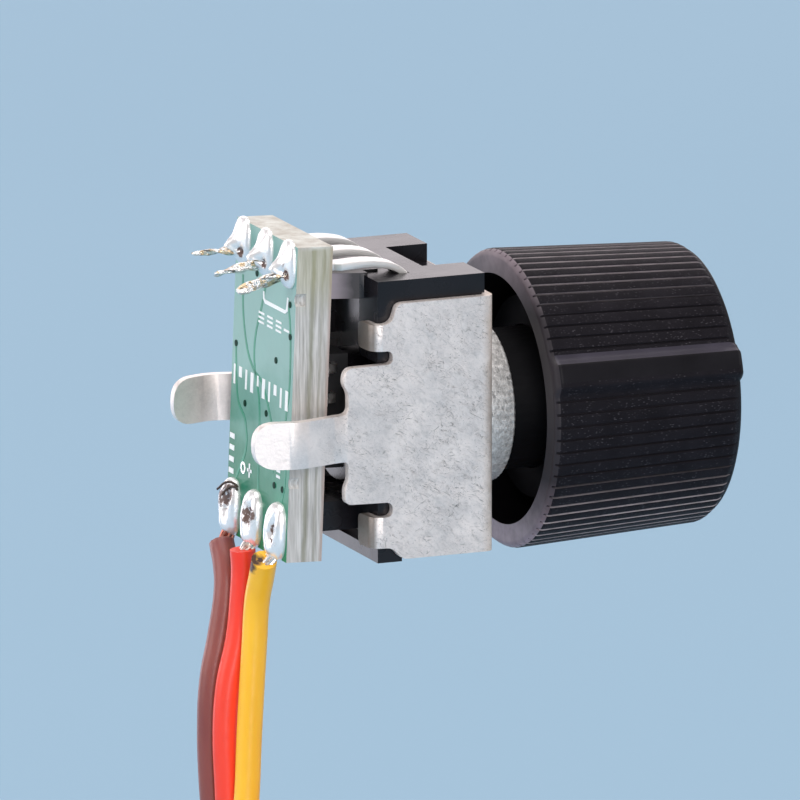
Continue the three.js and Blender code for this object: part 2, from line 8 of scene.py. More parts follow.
import math
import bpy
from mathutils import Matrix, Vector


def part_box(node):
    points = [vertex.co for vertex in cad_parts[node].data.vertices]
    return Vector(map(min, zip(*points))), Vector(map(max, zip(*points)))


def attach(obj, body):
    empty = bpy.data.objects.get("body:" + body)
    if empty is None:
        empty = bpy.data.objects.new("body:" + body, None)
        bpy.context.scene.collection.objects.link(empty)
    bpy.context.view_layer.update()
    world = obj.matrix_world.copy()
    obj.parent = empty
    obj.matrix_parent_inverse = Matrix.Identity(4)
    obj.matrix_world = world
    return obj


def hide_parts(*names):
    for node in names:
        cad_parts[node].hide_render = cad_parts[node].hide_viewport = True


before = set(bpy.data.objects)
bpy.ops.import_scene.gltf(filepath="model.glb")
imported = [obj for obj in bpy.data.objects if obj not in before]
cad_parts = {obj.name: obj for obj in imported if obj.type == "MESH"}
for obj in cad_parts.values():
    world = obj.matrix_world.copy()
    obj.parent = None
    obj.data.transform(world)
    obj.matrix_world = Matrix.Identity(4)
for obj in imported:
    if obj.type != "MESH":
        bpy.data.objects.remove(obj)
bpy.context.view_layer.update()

from types import SimpleNamespace as Sizes

import bmesh
import bpy
from mathutils import Matrix, Vector, noise

# ---- driving dimensions, mm

MM = 0.001

SHEET = 0.4
BRACKET = Sizes(half_width=4.7, top=5.6, bottom=-5.4, rear=-4.45)
LUG = Sizes(half_height=1.0, neck=-6.65, knee=-9.05, tip=-10.92, knee_out=0.55)
SHOULDER = Sizes(rear=-6.9, upper=3.0, lower=-2.85)
SLOT = Sizes(end=-4.65, upper=3.02)
TAB = Sizes(bend_start=-5.1, turn_radius=0.36, rear=-5.6, inner=3.3, corner=0.25,
            upper=(3.6, 4.73), lower=(-4.87, -3.54))

COLLAR = Sizes(radius=3.45, front=1.5, bore=3.06, serrations=64, serration_depth=0.035)
SHAFT = Sizes(radius=3.0, end=9.0, flat_height=1.5, flat_start=4.5)

KNOB = Sizes(rim=2.1, front=10.9, rim_radius=6.38, front_radius=5.96, hollow=5.26)
KNOB_SKIN = 5.5  # everything on the knob nearer to the axis is its front face or its inside
FLUTE = Sizes(count=72, depth=0.13, start=2.18, end=10.62)
RIDGE = Sizes(angle=160.0, half_angle=7.5, height=0.3, crest=(-3.6, 4.6), smooth=(-3.9, 2.5))
BOSS = Sizes(radius=4.3, start=3.4, floor=9.4, ribs=6, rib_thickness=0.7, rib_start=5.2)

PITCH = 2.5
LANES = {"a": -PITCH, "common": 0.0, "b": PITCH}
TERMINAL = Sizes(thickness=0.3, half_width=0.5, pin_half_width=0.3)
FINGER_START = 8.6  # these two are distances back from the pin's tip
SHOULDER_START = 4.35
PIN_DROOP = {"a": 0.64, "common": 0.42, "b": 0.02}
PIN_TWIST = {"a": 0.9, "common": 1.5, "b": 2.2}  # radians per mm along the cut pins
PIN_SLIM = {"a": 0.72, "common": 0.55, "b": 0.38}  # width left at the cut pins' tips

LEG_START = 4.75  # height of the housing legs' roots above and below the shaft
CHEEK_FRONT = -5.3

BOARD = Sizes(width=6.7, height=13.5, thickness=1.6, x=-7.07, z=1.25, lean=2.3)
NICKS = ((5.75, 0.17), (-2.1, 0.1))  # height and depth of each, in the board's near edge
NICK_RADIUS = 0.3
PIN_HOLE = Sizes(radius=0.6, z=6.85)
CHIP = Sizes(z=0.63, length=4.9, width=3.9, thickness=1.35, standoff=0.1, leads=4, pitch=1.27)
CAP_START = 0.5  # from the middle of the capacitor or the resistor to its metal ends
WIRE_PAD_Z = -4.2

COLOURS = ("brown", "red", "yellow")
LANE_ORDER = {"brown": 1, "red": 0, "yellow": -1}
WIRE = Sizes(diameter=1.1, gap=1.15, length=150.0)
STRAND = Sizes(count=7, diameter=0.17, ring=0.2, twist=1.6)
COIL = Sizes(x=-4.2, z=-25.0, radius=6.0, turns=3, advance=3.6, clear=4.0)
PLUG = Sizes(thickness=2.6, top=-42.0, pitch=2.54, half_slot=0.55, wire_depth=1.2)

FLOOR = Sizes(z=-60.0, half_width=6000)


def add_object(name, data):
    obj = bpy.data.objects.new(name, data)
    bpy.context.scene.collection.objects.link(obj)
    return obj


# ---- camera

CAMERA = Sizes(azimuth=-22.6, elevation=12.7, distance=1000.0)
VIEW_WIDTH = 33.76  # what the picture shows across, at the origin
VIEW_CENTRE = (-2.19, 0.11)  # right of and above the origin, as the camera sees it


def place_camera():
    azimuth = math.radians(CAMERA.azimuth)
    elevation = math.radians(CAMERA.elevation)
    back = Vector((
        math.sin(azimuth) * math.cos(elevation),
        -math.cos(azimuth) * math.cos(elevation),
        math.sin(elevation),
    ))
    right = Vector((math.cos(azimuth), math.sin(azimuth), 0))
    target = right * VIEW_CENTRE[0] + back.cross(right) * VIEW_CENTRE[1]
    data = bpy.data.cameras.new("camera")
    data.sensor_width = 36
    data.lens = data.sensor_width * CAMERA.distance / VIEW_WIDTH
    data.clip_start = 0.05
    data.clip_end = 20
    camera = add_object("camera", data)
    camera.location = (target + back * CAMERA.distance) * MM
    camera.rotation_mode = "QUATERNION"
    camera.rotation_quaternion = (-back).to_track_quat("-Z", "Y")
    bpy.context.scene.camera = camera


place_camera()

# ---- cords

COIL_ENTRY_X = COIL.x - COIL.radius
COIL_DEPTH = COIL.turns * COIL.advance
POINTS_PER_TURN = 20

# From the pad at the foot of the board down to where the coil begins.
ROUTES = {
    "brown": [
        (-9.5, 2.45, -5.75), (-9.62, 1.75, -6.5), (-9.75, 1.3, -7.4), (-10.1, 1.12, -9.3),
        (-10.5, 1.1, -11.3), (-10.6, 1.12, -13.3), (-10.5, 1.15, -16), (-10.3, 1.15, -18.2),
    ],
    "red": [
        (-9.55, 0, -5.5), (-9.5, 0, -6.3), (-9.55, 0, -7.4), (-9.75, 0, -9.3),
        (-10.2, 0, -11.3), (-10.35, 0, -13.3), (-10.25, 0, -16), (-10.2, 0, -18.2),
    ],
    "yellow": [
        (-9.55, -2.4, -5.45), (-9.45, -1.85, -6.3), (-9.42, -1.3, -7.4), (-9.48, -1.13, -9.3),
        (-9.6, -1.12, -11.3), (-9.72, -1.13, -13.3), (-9.85, -1.15, -16), (-10.05, -1.15, -18.2),
    ],
}


def smooth_curve(name, points, diameter, sides=5, steps=6):
    """A round wire along one smooth open spline through the points."""
    curve = bpy.data.curves.new(name, "CURVE")
    curve.dimensions = "3D"
    curve.bevel_depth = 1
    curve.bevel_resolution = sides
    curve.resolution_u = steps
    curve.use_fill_caps = True
    spline = curve.splines.new("BEZIER")
    spline.bezier_points.add(len(points) - 1)
    for knot, point in zip(spline.bezier_points, points):
        knot.co = Vector(point) * MM
        knot.handle_left_type = knot.handle_right_type = "AUTO"
        knot.radius = diameter / 2 * MM
    return add_object(name, curve)


def cord_route(colour):
    """The whole length of one wire: down to the coil, three turns, then down to the plug."""
    order = LANE_ORDER[colour]
    offset = order * WIRE.gap
    points = [*ROUTES[colour], (COIL_ENTRY_X, offset, COIL.z + COIL.clear)]
    count = COIL.turns * POINTS_PER_TURN
    for i in range(count + 1):
        angle = 2 * math.pi * i / POINTS_PER_TURN
        points.append((
            COIL.x - COIL.radius * math.cos(angle),
            offset - COIL_DEPTH * i / count,
            COIL.z - COIL.radius * math.sin(angle),
        ))
    below = COIL.z - COIL.clear
    spread = ((WIRE.gap, below), (WIRE.gap, below - 4), (1.9, below - 8),
              (PLUG.pitch, PLUG.top - PLUG.wire_depth))
    return points + [(COIL_ENTRY_X, order * gap - COIL_DEPTH, z) for gap, z in spread]


wires = {}
for colour in COLOURS:
    wires[colour] = smooth_curve(f"insulation_{colour}", cord_route(colour), WIRE.diameter)
    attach(wires[colour], "base")
    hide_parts(f"wire_{colour}", f"wire_tail_{colour}")
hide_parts("lead_coil")

# ---- mesh helpers

PLANES = {"xy": (0, 1, 2), "xz": (0, 2, 1), "yz": (1, 2, 0)}
SMOOTH_ANGLE = 32


def new_object(name, verts, faces):
    mesh = bpy.data.meshes.new(name)
    mesh.from_pydata([Vector(v) * MM for v in verts], [], faces)
    obj = add_object(name, mesh)
    tidy_mesh(obj)
    return obj


def tidy_mesh(obj, dissolve=False):
    """Merges doubled points, turns every face outwards and, if asked, joins coplanar faces."""
    shape = bmesh.new()
    shape.from_mesh(obj.data)
    bmesh.ops.remove_doubles(shape, verts=shape.verts, dist=1e-7)
    if dissolve:
        bmesh.ops.dissolve_limit(
            shape, angle_limit=math.radians(0.6), verts=shape.verts, edges=shape.edges
        )
    bmesh.ops.recalc_face_normals(shape, faces=shape.faces)
    shape.to_mesh(obj.data)
    shape.free()


def copy_of_node(name, node):
    """A new piece with the CAD node's shape, its coplanar triangles joined."""
    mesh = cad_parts[node].data.copy()
    mesh.materials.clear()
    obj = add_object(name, mesh)
    tidy_mesh(obj, dissolve=True)
    return obj


def rounded(corners, steps=7):
    """An outline of (u, v, reach) corners, each rounded from reach before it to reach after."""
    outline = []
    for i, corner in enumerate(corners):
        at = Vector(corner[:2])
        if len(corner) < 3:
            outline.append(at)
            continue
        before, after = (
            at + (Vector(other[:2]) - at).normalized() * corner[2]
            for other in (corners[i - 1], corners[(i + 1) % len(corners)])
        )
        for step in range(steps + 1):
            t = step / steps
            outline.append(before * (1 - t) ** 2 + at * 2 * t * (1 - t) + after * t**2)
    return outline


def prism(name, outline, low, high, plane):
    u, v, w = PLANES[plane]
    verts = []
    for level in (low, high):
        for point in outline:
            place = [0, 0, 0]
            place[u], place[v], place[w] = point[0], point[1], level
            verts.append(place)
    n = len(outline)
    faces = [list(range(n)), list(range(n, 2 * n))]
    faces += [(i, (i + 1) % n, n + (i + 1) % n, n + i) for i in range(n)]
    return new_object(name, verts, faces)


def block(name, x, y, z):
    return prism(name, [(x[0], y[0]), (x[1], y[0]), (x[1], y[1]), (x[0], y[1])], *z, "xy")


def turned(name, profile, angles, change=None, closed=False):
    """A solid of revolution about X from (x, radius) points.

    angles is a count, or a list of degrees from +Y towards +Z. change(x, radius, degrees) may
    alter the radius round the axis.
    """
    if isinstance(angles, int):
        angles = [360 * i / angles for i in range(angles)]
    segments = len(angles)
    verts = []
    rings = []
    for x, radius in profile:
        if radius == 0:
            rings.append([len(verts)] * segments)
            verts.append((x, 0, 0))
            continue
        rings.append(list(range(len(verts), len(verts) + segments)))
        for degrees in angles:
            angle = math.radians(degrees)
            r = change(x, radius, degrees) if change else radius
            verts.append((x, r * math.cos(angle), r * math.sin(angle)))
    if closed:
        rings.append(rings[0])
    faces = []
    for first, second in zip(rings, rings[1:]):
        for i in range(segments):
            j = (i + 1) % segments
            face = list(dict.fromkeys((first[i], first[j], second[j], second[i])))
            if len(face) > 2:
                faces.append(face)
    return new_object(name, verts, faces)


def rod(name, x0, x1, radius, segments=64, y=0.0, z=0.0):
    """A cylinder along X, its axis moved to y and z."""
    obj = turned(name, [(x0, 0), (x0, radius), (x1, radius), (x1, 0)], segments)
    obj.data.transform(Matrix.Translation(Vector((0, y, z)) * MM))
    return obj


def combine(target, operation, *others):
    """Joins, cuts or intersects target with the others, which are used up."""
    for other in others:
        step = target.modifiers.new(operation, "BOOLEAN")
        step.operation = operation
        step.solver = "MANIFOLD"
        step.object = other
        bake(target)
        bpy.data.objects.remove(other, do_unlink=True)
    tidy_mesh(target, dissolve=True)
    return target


def final_mesh(obj):
    """A new mesh as the object's modifiers, or its curve, make it."""
    depsgraph = bpy.context.evaluated_depsgraph_get()
    return bpy.data.meshes.new_from_object(obj.evaluated_get(depsgraph))


def bake(obj):
    """Replaces the mesh by what its modifiers make of it."""
    mesh = final_mesh(obj)
    obj.modifiers.clear()
    obj.data = mesh


def soften(obj, width, segments, angle):
    """Rounds the edges sharper than angle by width mm and shades the rest smoothly."""
    edge = obj.modifiers.new("edges", "BEVEL")
    edge.width = width * MM
    edge.segments = segments
    edge.limit_method = "ANGLE"
    edge.angle_limit = math.radians(angle)
    bake(obj)
    shade(obj)


def shade(obj, angle=SMOOTH_ANGLE):
    for face in obj.data.polygons:
        face.use_smooth = True
    obj.data.set_sharp_from_angle(angle=math.radians(angle))
    obj.modifiers.new("normals", "WEIGHTED_NORMAL").keep_sharp = True


def smooth_line(points, per_span):
    """Points on a smooth line through the given ones."""
    knots = [Vector(p) for p in points]
    knots = [knots[0] * 2 - knots[1], *knots, knots[-1] * 2 - knots[-2]]
    line = []
    for i in range(1, len(knots) - 2):
        p0, p1, p2, p3 = knots[i - 1 : i + 3]
        for step in range(per_span):
            t = step / per_span
            line.append(
                (p1 * 2 + (p2 - p0) * t + (p0 * 2 - p1 * 5 + p2 * 4 - p3) * t**2
                 + (p1 * 3 - p0 - p2 * 3 + p3) * t**3) / 2
            )
    line.append(knots[-2])
    return line


def strip(name, line, across, half_width, thickness, twist=0.0):
    """A closed strip along a line. half_width, thickness and twist, in radians, are numbers or
    functions of the distance left to the line's end."""
    across = Vector(across).normalized()
    left = [0.0]
    for a, b in zip(line[::-1], line[-2::-1]):
        left.insert(0, left[0] + (b - a).length)
    verts = []
    for i, at in enumerate(line):
        along = (line[min(i + 1, len(line) - 1)] - line[max(i - 1, 0)]).normalized()
        half, thick, turn = (size(left[i]) if callable(size) else size
                             for size in (half_width, thickness, twist))
        turn = Matrix.Rotation(turn, 3, along)
        wide = turn @ across * half
        deep = turn @ along.cross(across) * thick / 2
        verts += [at - wide - deep, at + wide - deep, at + wide + deep, at - wide + deep]
    faces = [(0, 1, 2, 3), tuple(len(verts) - 4 + k for k in range(4))]
    for i in range(0, len(verts) - 4, 4):
        for k in range(4):
            j = (k + 1) % 4
            faces.append((i + k, i + j, i + 4 + j, i + 4 + k))
    return new_object(name, verts, faces)


def joined(name, parts):
    """One object from several, which are used up."""
    shape = bmesh.new()
    for part in parts:
        shape.from_mesh(part.data)
        bpy.data.objects.remove(part, do_unlink=True)
    mesh = bpy.data.meshes.new(name)
    shape.to_mesh(mesh)
    shape.free()
    return add_object(name, mesh)


def between(points, at):
    """The value at a place on the straight lines that join (place, value) points."""
    for (low, first), (high, last) in zip(points, points[1:]):
        if at <= high:
            return first + (last - first) * (at - low) / (high - low)
    return points[-1][1]


def clamped(value):
    return min(max(value, 0.0), 1.0)


def finish_piece(obj, slot, *nodes, materials, body="base", choose=None):
    """Gives a piece its materials and body and hides its CAD nodes; slot is not used.
    choose(place in mm, normal) picks the material of each face, where there is more than one."""
    obj.data.materials.clear()
    for material in materials:
        obj.data.materials.append(material)
    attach(obj, body)
    if nodes:
        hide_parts(*nodes)
    if choose:
        for face in obj.data.polygons:
            face.material_index = materials.index(choose(face.center / MM, face.normal))


# ---- material helpers


class Shader:
    """One node material. Each method adds a node and returns its output. Sizes are in mm."""

    INPUTS = {"color": "Base Color", "ior": "IOR", "coat": "Coat Weight",
              "coat_roughness": "Coat Roughness", "subsurface": "Subsurface Weight"}

    def __init__(self, name):
        self.material = bpy.data.materials.new(name)
        self.material.use_nodes = True
        self.tree = self.material.node_tree
        self.place = self.add("ShaderNodeTexCoord").outputs["Object"]

    def add(self, kind, inputs=None, **settings):
        node = self.tree.nodes.new(kind)
        for key, value in settings.items():
            setattr(node, key, value)
        for key, value in (inputs or {}).items():
            self.feed(node.inputs[key], value)
        return node

    def feed(self, socket, value):
        if isinstance(value, bpy.types.NodeSocket):
            self.tree.links.new(value, socket)
        elif isinstance(value, tuple) and len(value) == 3 and socket.type == "RGBA":
            socket.default_value = (*value, 1)
        else:
            socket.default_value = value

    def done(self, **values):
        """The finished material, with values for its surface."""
        surface = self.tree.nodes["Principled BSDF"]
        for key, value in values.items():
            self.feed(surface.inputs[self.INPUTS.get(key, key.capitalize())], value)
        return self.material

    def stretched(self, by, turn=0):
        """The place with its axes, turned by so many degrees about Y, drawn out."""
        inputs = {"Vector": self.place, "Scale": by, "Rotation": (0, math.radians(turn), 0)}
        return self.add("ShaderNodeMapping", inputs, vector_type="TEXTURE").outputs["Vector"]

    def noise(self, size, detail=3, rough=0.55, bend=0.0, at=None):
        """Noise with features of about this size, from 0 to 1."""
        inputs = {"Vector": at or self.place, "Scale": 1 / (size * MM), "Detail": detail,
                  "Roughness": rough, "Distortion": bend}
        return self.add("ShaderNodeTexNoise", inputs).outputs["Fac"]

    def cells(self, size, at):
        inputs = {"Vector": at, "Scale": 1 / (size * MM)}
        return self.add("ShaderNodeTexVoronoi", inputs).outputs["Distance"]

    def axis(self, letter):
        """The position along one axis."""
        split = self.add("ShaderNodeSeparateXYZ", {"Vector": self.place})
        return self.times(split.outputs[letter], 1 / MM)

    def level(self, value, low, high, to_low=0.0, to_high=1.0):
        """Goes from to_low to to_high as the value goes from low to high."""
        inputs = {"Value": value, "From Min": low, "From Max": high,
                  "To Min": to_low, "To Max": to_high}
        return self.add("ShaderNodeMapRange", inputs, clamp=True).outputs["Result"]

    def maths(self, operation, *values):
        node = self.add("ShaderNodeMath", dict(enumerate(values)), operation=operation)
        return node.outputs["Value"]

    def times(self, first, *others):
        for other in others:
            first = self.maths("MULTIPLY", first, other)
        return first

    def plus(self, a, *factors):
        """a and the product of the factors, added up."""
        return self.maths("ADD", a, self.times(*factors))

    def away(self, value, middle):
        """How far a value is from the middle, on either side."""
        return self.maths("ABSOLUTE", self.maths("SUBTRACT", value, middle))

    def mix(self, factor, a, b):
        node = self.add("ShaderNodeMix", {0: factor, 6: a, 7: b}, data_type="RGBA")
        return node.outputs[2]

    def mottled(self, cloud, low, high, a, b):
        """Colour a where the cloud is under low, going over to b where it is above high."""
        return self.mix(self.level(cloud, low, high), a, b)

    def over(self, base, color, *masks):
        """The colour laid over the base as strongly as the product of the masks."""
        return self.mix(self.times(*masks), base, color)

    def near(self, point, reach):
        """1 at a point, falling to 0 at a distance of reach."""
        inputs = {0: self.place, 1: tuple(Vector(point) * MM)}
        node = self.add("ShaderNodeVectorMath", inputs, operation="DISTANCE")
        return self.level(node.outputs["Value"], 0, reach * MM, 1, 0)

    def bump(self, height, depth, normal=None):
        """Bump whose height value of 1 stands for depth, on top of a first bump if given."""
        inputs = {"Height": height, "Distance": depth * MM, "Strength": 1.0}
        if normal is not None:
            inputs["Normal"] = normal
        return self.add("ShaderNodeBump", inputs).outputs["Normal"]


# ---- materials

# The scratches' directions in degrees, their width, their length for that width, their rarity.
SCRATCHES = ((28, 0.05, 9, 0.65), (50, 0.035, 9, 0.66), (-35, 0.04, 9, 0.66),
             (78, 0.04, 9, 0.665), (5, 0.05, 8, 0.66))

# Where one tone of a material goes over into another, in mm along the axis that is named.
LUG_CLEANS_X = (-8.3, -6.6)
FRONT_BEND_X = (-0.6, -0.2)
TAB_FOLD_X = (-5.45, -5.32)
TAB_HEIGHT_Z = (3.2, 3.4)
PIN_ROOT_X = (-8.2, -7.8)
CHEEK_FADE_X = (-6.7, -5.4)
BOARD_PALE_Z = (-0.2, 4.5)
BOARD_FOOT_Z = (-5.5, -4.2)
BOARD_RIM_X = (-7.29, -7.18)
BOARD_OLIVE_Z = (5.6, 7.2)
BOARD_SIDE_Y = (-3.4, -3.3)
BOARD_ROOF_Z = (7.85, 8.0)

# Torn lines along the board's cut edge: depth, where each begins and ends to fade on both
# sides of it, in mm, strength and colour.
TORN_LINES = ((-7.85, 0.04, 0.16, 0.7, (0.24, 0.24, 0.17)),
              (-7.4, 0.02, 0.08, 0.45, (0.27, 0.26, 0.20)))

# The knob's pale bands of painted highlight begin this far, in mm, above and below a level near its
# middle.
HIGHLIGHT_BANDS = Sizes(middle=1.0, start=3.4)


def scaled(color, by):
    return tuple(min(c * by, 1) for c in color)


def scratches_on(s):
    """Short thin scratches in a few directions, thicker in some patches than in others."""
    found = 0.0
    for turn, width, length, rarity in SCRATCHES:
        lines = s.noise(width, 2, 0.45, 1.3, s.stretched((length, length / 2, 1), turn))
        found = s.maths("MAXIMUM", s.level(lines, rarity, rarity + 0.08), found)
    return s.times(found, s.level(s.noise(1.1, 3), 0.4, 0.6, 0.25, 1))


def tin_plate():
    """Dull scratched plate, cleaner on the lugs, darker where it is bent, with painted shade where
    the tabs are folded.
    """
    s = Shader("tin_plate")
    cloud = s.noise(1.6, 5, 0.62)
    grain = s.noise(0.14, 4, 0.7)
    plate = s.level(s.axis("X"), *LUG_CLEANS_X, 0.12, 1)
    bend = s.level(s.axis("X"), *FRONT_BEND_X)
    fold_shade = s.level(s.axis("X"), *TAB_FOLD_X, 1, 0)
    tabs = s.level(s.away(s.axis("Z"), 0), *TAB_HEIGHT_Z)
    smudge = s.noise(0.22, 5, 0.65, 0.6, s.stretched((2.2, 1.5, 1), 38))
    specks = s.level(s.noise(0.1, 1), 0.67, 0.73)
    scratches = s.times(scratches_on(s), plate)
    base = s.mottled(cloud, 0.3, 0.72, (0.72, 0.66, 0.63), (0.95, 0.872, 0.826))
    base = s.over(base, (0.98, 0.90, 0.86), s.level(grain, 0.4, 0.7, 0, 0.5))
    base = s.over(base, (0.36, 0.345, 0.335), plate, s.level(smudge, 0.5, 0.7, 0, 0.36))
    base = s.over(base, (0.17, 0.165, 0.16), scratches, 0.85)
    base = s.over(base, (0.24, 0.23, 0.22), specks, plate, 0.5)
    base = s.over(base, (0.66, 0.56, 0.48), bend, s.level(s.noise(0.5, 3), 0.3, 0.62, 0.3, 0.85))
    # Painted shade on the folded ends of the tabs.
    base = s.over(base, (0.21, 0.17, 0.14), fold_shade, tabs, 0.82)
    rough = s.plus(s.level(cloud, 0.3, 0.7, 0.36, 0.5), bend, 0.22)
    bumps = s.bump(scratches, -0.012, s.bump(grain, 0.012))
    return s.done(color=base, metallic=0.6, roughness=rough, normal=bumps)


def cast_zinc():
    s = Shader("cast_zinc")
    grain = s.noise(0.22, 5, 0.7)
    base = s.mottled(grain, 0.35, 0.65, (0.48, 0.475, 0.465), (0.95, 0.94, 0.92))
    base = s.over(base, (0.13, 0.13, 0.13), s.level(s.noise(0.45, 3), 0.62, 0.68), 0.6)
    return s.done(color=base, metallic=0.5, roughness=0.42, normal=s.bump(grain, 0.05))


def bright_metal(name, color, roughness, tarnish, amount=0.25):
    s = Shader(name)
    cloud = s.noise(0.5, 4, 0.6)
    base = s.over(color, tarnish, s.level(cloud, 0.55, 0.75, 0, amount))
    rough = s.level(s.noise(0.2, 4), 0.3, 0.7, roughness * 0.7, roughness * 1.4)
    return s.done(color=base, metallic=1.0, roughness=rough, normal=s.bump(cloud, 0.03))


def pin_metal():
    """Tinned terminals: clean on the arch, rough and golden in places on the cut pins."""
    s = Shader("terminal_metal")
    pin = s.level(s.axis("X"), *PIN_ROOT_X, 1, 0)
    streak = s.noise(0.13, 4, 0.65, 0.4, s.stretched((3, 1, 1)))
    gold = s.level(s.noise(0.3, 3), 0.47, 0.57, 0, 0.8)
    base = s.over((0.86, 0.85, 0.83), (0.66, 0.47, 0.24), pin, gold)
    base = s.over(base, (0.07, 0.06, 0.05), pin, s.level(streak, 0.53, 0.61, 0, 0.9))
    height = s.times(streak, s.level(pin, 0, 1, 0.12, 1))
    return s.done(color=base, metallic=s.level(pin, 0, 1, 0.7, 0.95),
                  roughness=s.level(pin, 0, 1, 0.42, 0.24), normal=s.bump(height, 0.09))


def solder_metal(name, flux_and_shade_spots=()):
    """Reflowed solder with burnt flux. Each dark spot is a point and a reach in mm: burnt flux on
    the wire joints, painted shade beside the terminal pins.
    """
    s = Shader(name)
    ripples = s.noise(0.6, 2, 0.5, 0.4)
    speckle = s.level(s.noise(0.2, 4, 0.65, 0.5), 0.38, 0.56, 0.35, 2.4)
    flux_and_shade = s.level(s.noise(0.45, 4, 0.6, 1.2), 0.66, 0.7, 0, 0.7)
    for point, reach in flux_and_shade_spots:
        spot = s.times(s.near(point, reach), speckle)
        flux_and_shade = s.maths("MAXIMUM", flux_and_shade, s.level(spot, 0.32, 0.68, 0, 0.95))
    # Dark where burnt flux lies and where painted shade is given.
    return s.done(color=s.over((0.95, 0.94, 0.935), (0.10, 0.045, 0.03), flux_and_shade),
                  metallic=s.level(flux_and_shade, 0, 1, 0.62, 0.05),
                  roughness=s.level(flux_and_shade, 0, 1, 0.26, 0.36), normal=s.bump(ripples, 0.04))


def black_plastic(name, color, roughness, grain_size, grain_depth, ior=1.36):
    s = Shader(name)
    cloud = s.noise(2.5, 3)
    base = s.mottled(cloud, 0.3, 0.7, scaled(color, 0.8), scaled(color, 1.25))
    rough = s.level(cloud, 0.3, 0.7, roughness * 0.85, roughness * 1.15)
    grain = s.bump(s.noise(grain_size, 3, 0.6), grain_depth)
    return s.done(color=base, roughness=rough, ior=ior, normal=grain)


def cheek_painted_reflection():
    """Black plastic with a pale painted reflection at the back of the housing's upper leg and its
    cheeks.
    """
    s = Shader("housing_cheek_painted_reflection")
    along = s.plus(s.axis("X"), s.noise(0.8, 3, 0.55, 0.3), 0.4)
    # Pale at the back, fading to black towards the front: painted reflection.
    base = s.mix(s.level(along, *CHEEK_FADE_X), (0.55, 0.47, 0.53), (0.03, 0.027, 0.031))
    return s.done(color=base, roughness=0.35, ior=1.4)


def knob_grip():
    """Spark-eroded lands with rows of tiny pale specks."""
    s = Shader("knob_grip")
    base = s.mottled(s.noise(1.5, 3), 0.3, 0.7, (0.0078, 0.0068, 0.009), (0.013, 0.0115, 0.015))
    specks = s.level(s.cells(0.08, s.stretched((2.4, 1, 1))), 0.14, 0.27, 1, 0)
    base = s.over(base, (0.12, 0.112, 0.124), specks, s.level(s.noise(0.5, 4), 0.4, 0.6), 0.5)
    grain = s.bump(s.noise(0.05, 3, 0.7), 0.015)
    return s.done(color=base, roughness=0.52, ior=1.16, normal=grain)


def plastic_with_painted_highlight(name, dark, pale, full):
    """Knob plastic with a painted highlight: pale above and below, and dark between. The pale bands
    reach their full tone full mm from the level between them."""
    s = Shader(name)
    height = s.away(s.axis("Z"), HIGHLIGHT_BANDS.middle)
    painted_highlight = s.level(height, HIGHLIGHT_BANDS.start, full)
    base = s.over(dark, pale, painted_highlight, s.level(s.noise(0.7, 4), 0.3, 0.6, 0.6, 1))
    return s.done(color=base, roughness=0.45, ior=1.3)


def solder_mask():
    """Green lacquer, paler towards the top and a deeper green at the foot."""
    s = Shader("solder_mask")
    height = s.axis("Z")
    cloud = s.noise(2.4, 3)
    pale_towards_top = s.level(s.plus(height, cloud, 4), *BOARD_PALE_Z, 0, 0.74)
    base = s.mottled(cloud, 0.3, 0.7, (0.020, 0.170, 0.095), (0.034, 0.245, 0.145))
    base = s.over(base, (0.27, 0.46, 0.43), pale_towards_top)
    base = s.over(base, (0.022, 0.24, 0.085), s.level(height, *BOARD_FOOT_Z, 1, 0), 0.8)
    weave = s.bump(s.noise(0.35, 2), 0.008)
    return s.done(color=base, roughness=0.34, ior=1.22, coat=0.1, coat_roughness=0.2,
                  normal=weave)


def fibreglass():
    """Cut board edge: streaks of glass along the board, torn lines in its thickness, an olive
    tint near the top of the near edge, and a cream roof."""
    s = Shader("fibreglass")
    height = s.axis("Z")
    streaks = s.noise(0.12, 4, 0.6, 0.1, s.stretched((1, 1, 22)))
    lean = math.tan(math.radians(BOARD.lean))
    depth = s.maths("SUBTRACT", s.axis("X"), s.times(height, lean))
    wavy = s.plus(depth, s.noise(1.2, 3), 0.22)
    base = s.mottled(streaks, 0.3, 0.66, (0.33, 0.32, 0.295), (0.71, 0.70, 0.675))
    for middle, full, gone, strength, color in TORN_LINES:
        line = s.level(s.away(wavy, middle), full, gone, 1, 0)
        base = s.over(base, color, line, strength)
    base = s.over(base, (0.42, 0.31, 0.27), s.level(depth, *BOARD_RIM_X), 0.7)
    top = s.level(s.plus(height, streaks, 1.2), *BOARD_OLIVE_Z)
    side = s.level(s.axis("Y"), *BOARD_SIDE_Y, 1, 0)
    base = s.over(base, (0.37, 0.355, 0.165), top, side, 0.8)
    cream = s.mottled(s.noise(0.8, 3), 0.35, 0.65, (0.46, 0.43, 0.37), (0.68, 0.69, 0.64))
    base = s.over(base, cream, s.level(height, *BOARD_ROOF_Z))
    return s.done(color=base, roughness=0.55, normal=s.bump(streaks, 0.05))


def ink():
    s = Shader("board_ink")
    worn = s.level(s.noise(0.12, 3), 0.62, 0.72, 0, 0.5)
    return s.done(color=s.over((0.86, 0.88, 0.87), (0.35, 0.52, 0.46), worn), roughness=0.5)


def tinted(name, color, roughness, spread=0.12, ior=1.5):
    """Plain moulded or glazed stuff with a slight change of tone."""
    s = Shader(name)
    cloud = s.noise(1.2, 4)
    base = s.mottled(cloud, 0.3, 0.7, scaled(color, 1 - spread), scaled(color, 1 + spread))
    rough = s.level(s.noise(0.4, 3), 0.3, 0.7, roughness * 0.85, roughness * 1.2)
    bumps = s.bump(s.noise(0.25, 3), 0.01)
    return s.done(color=base, roughness=rough, ior=ior, normal=bumps)


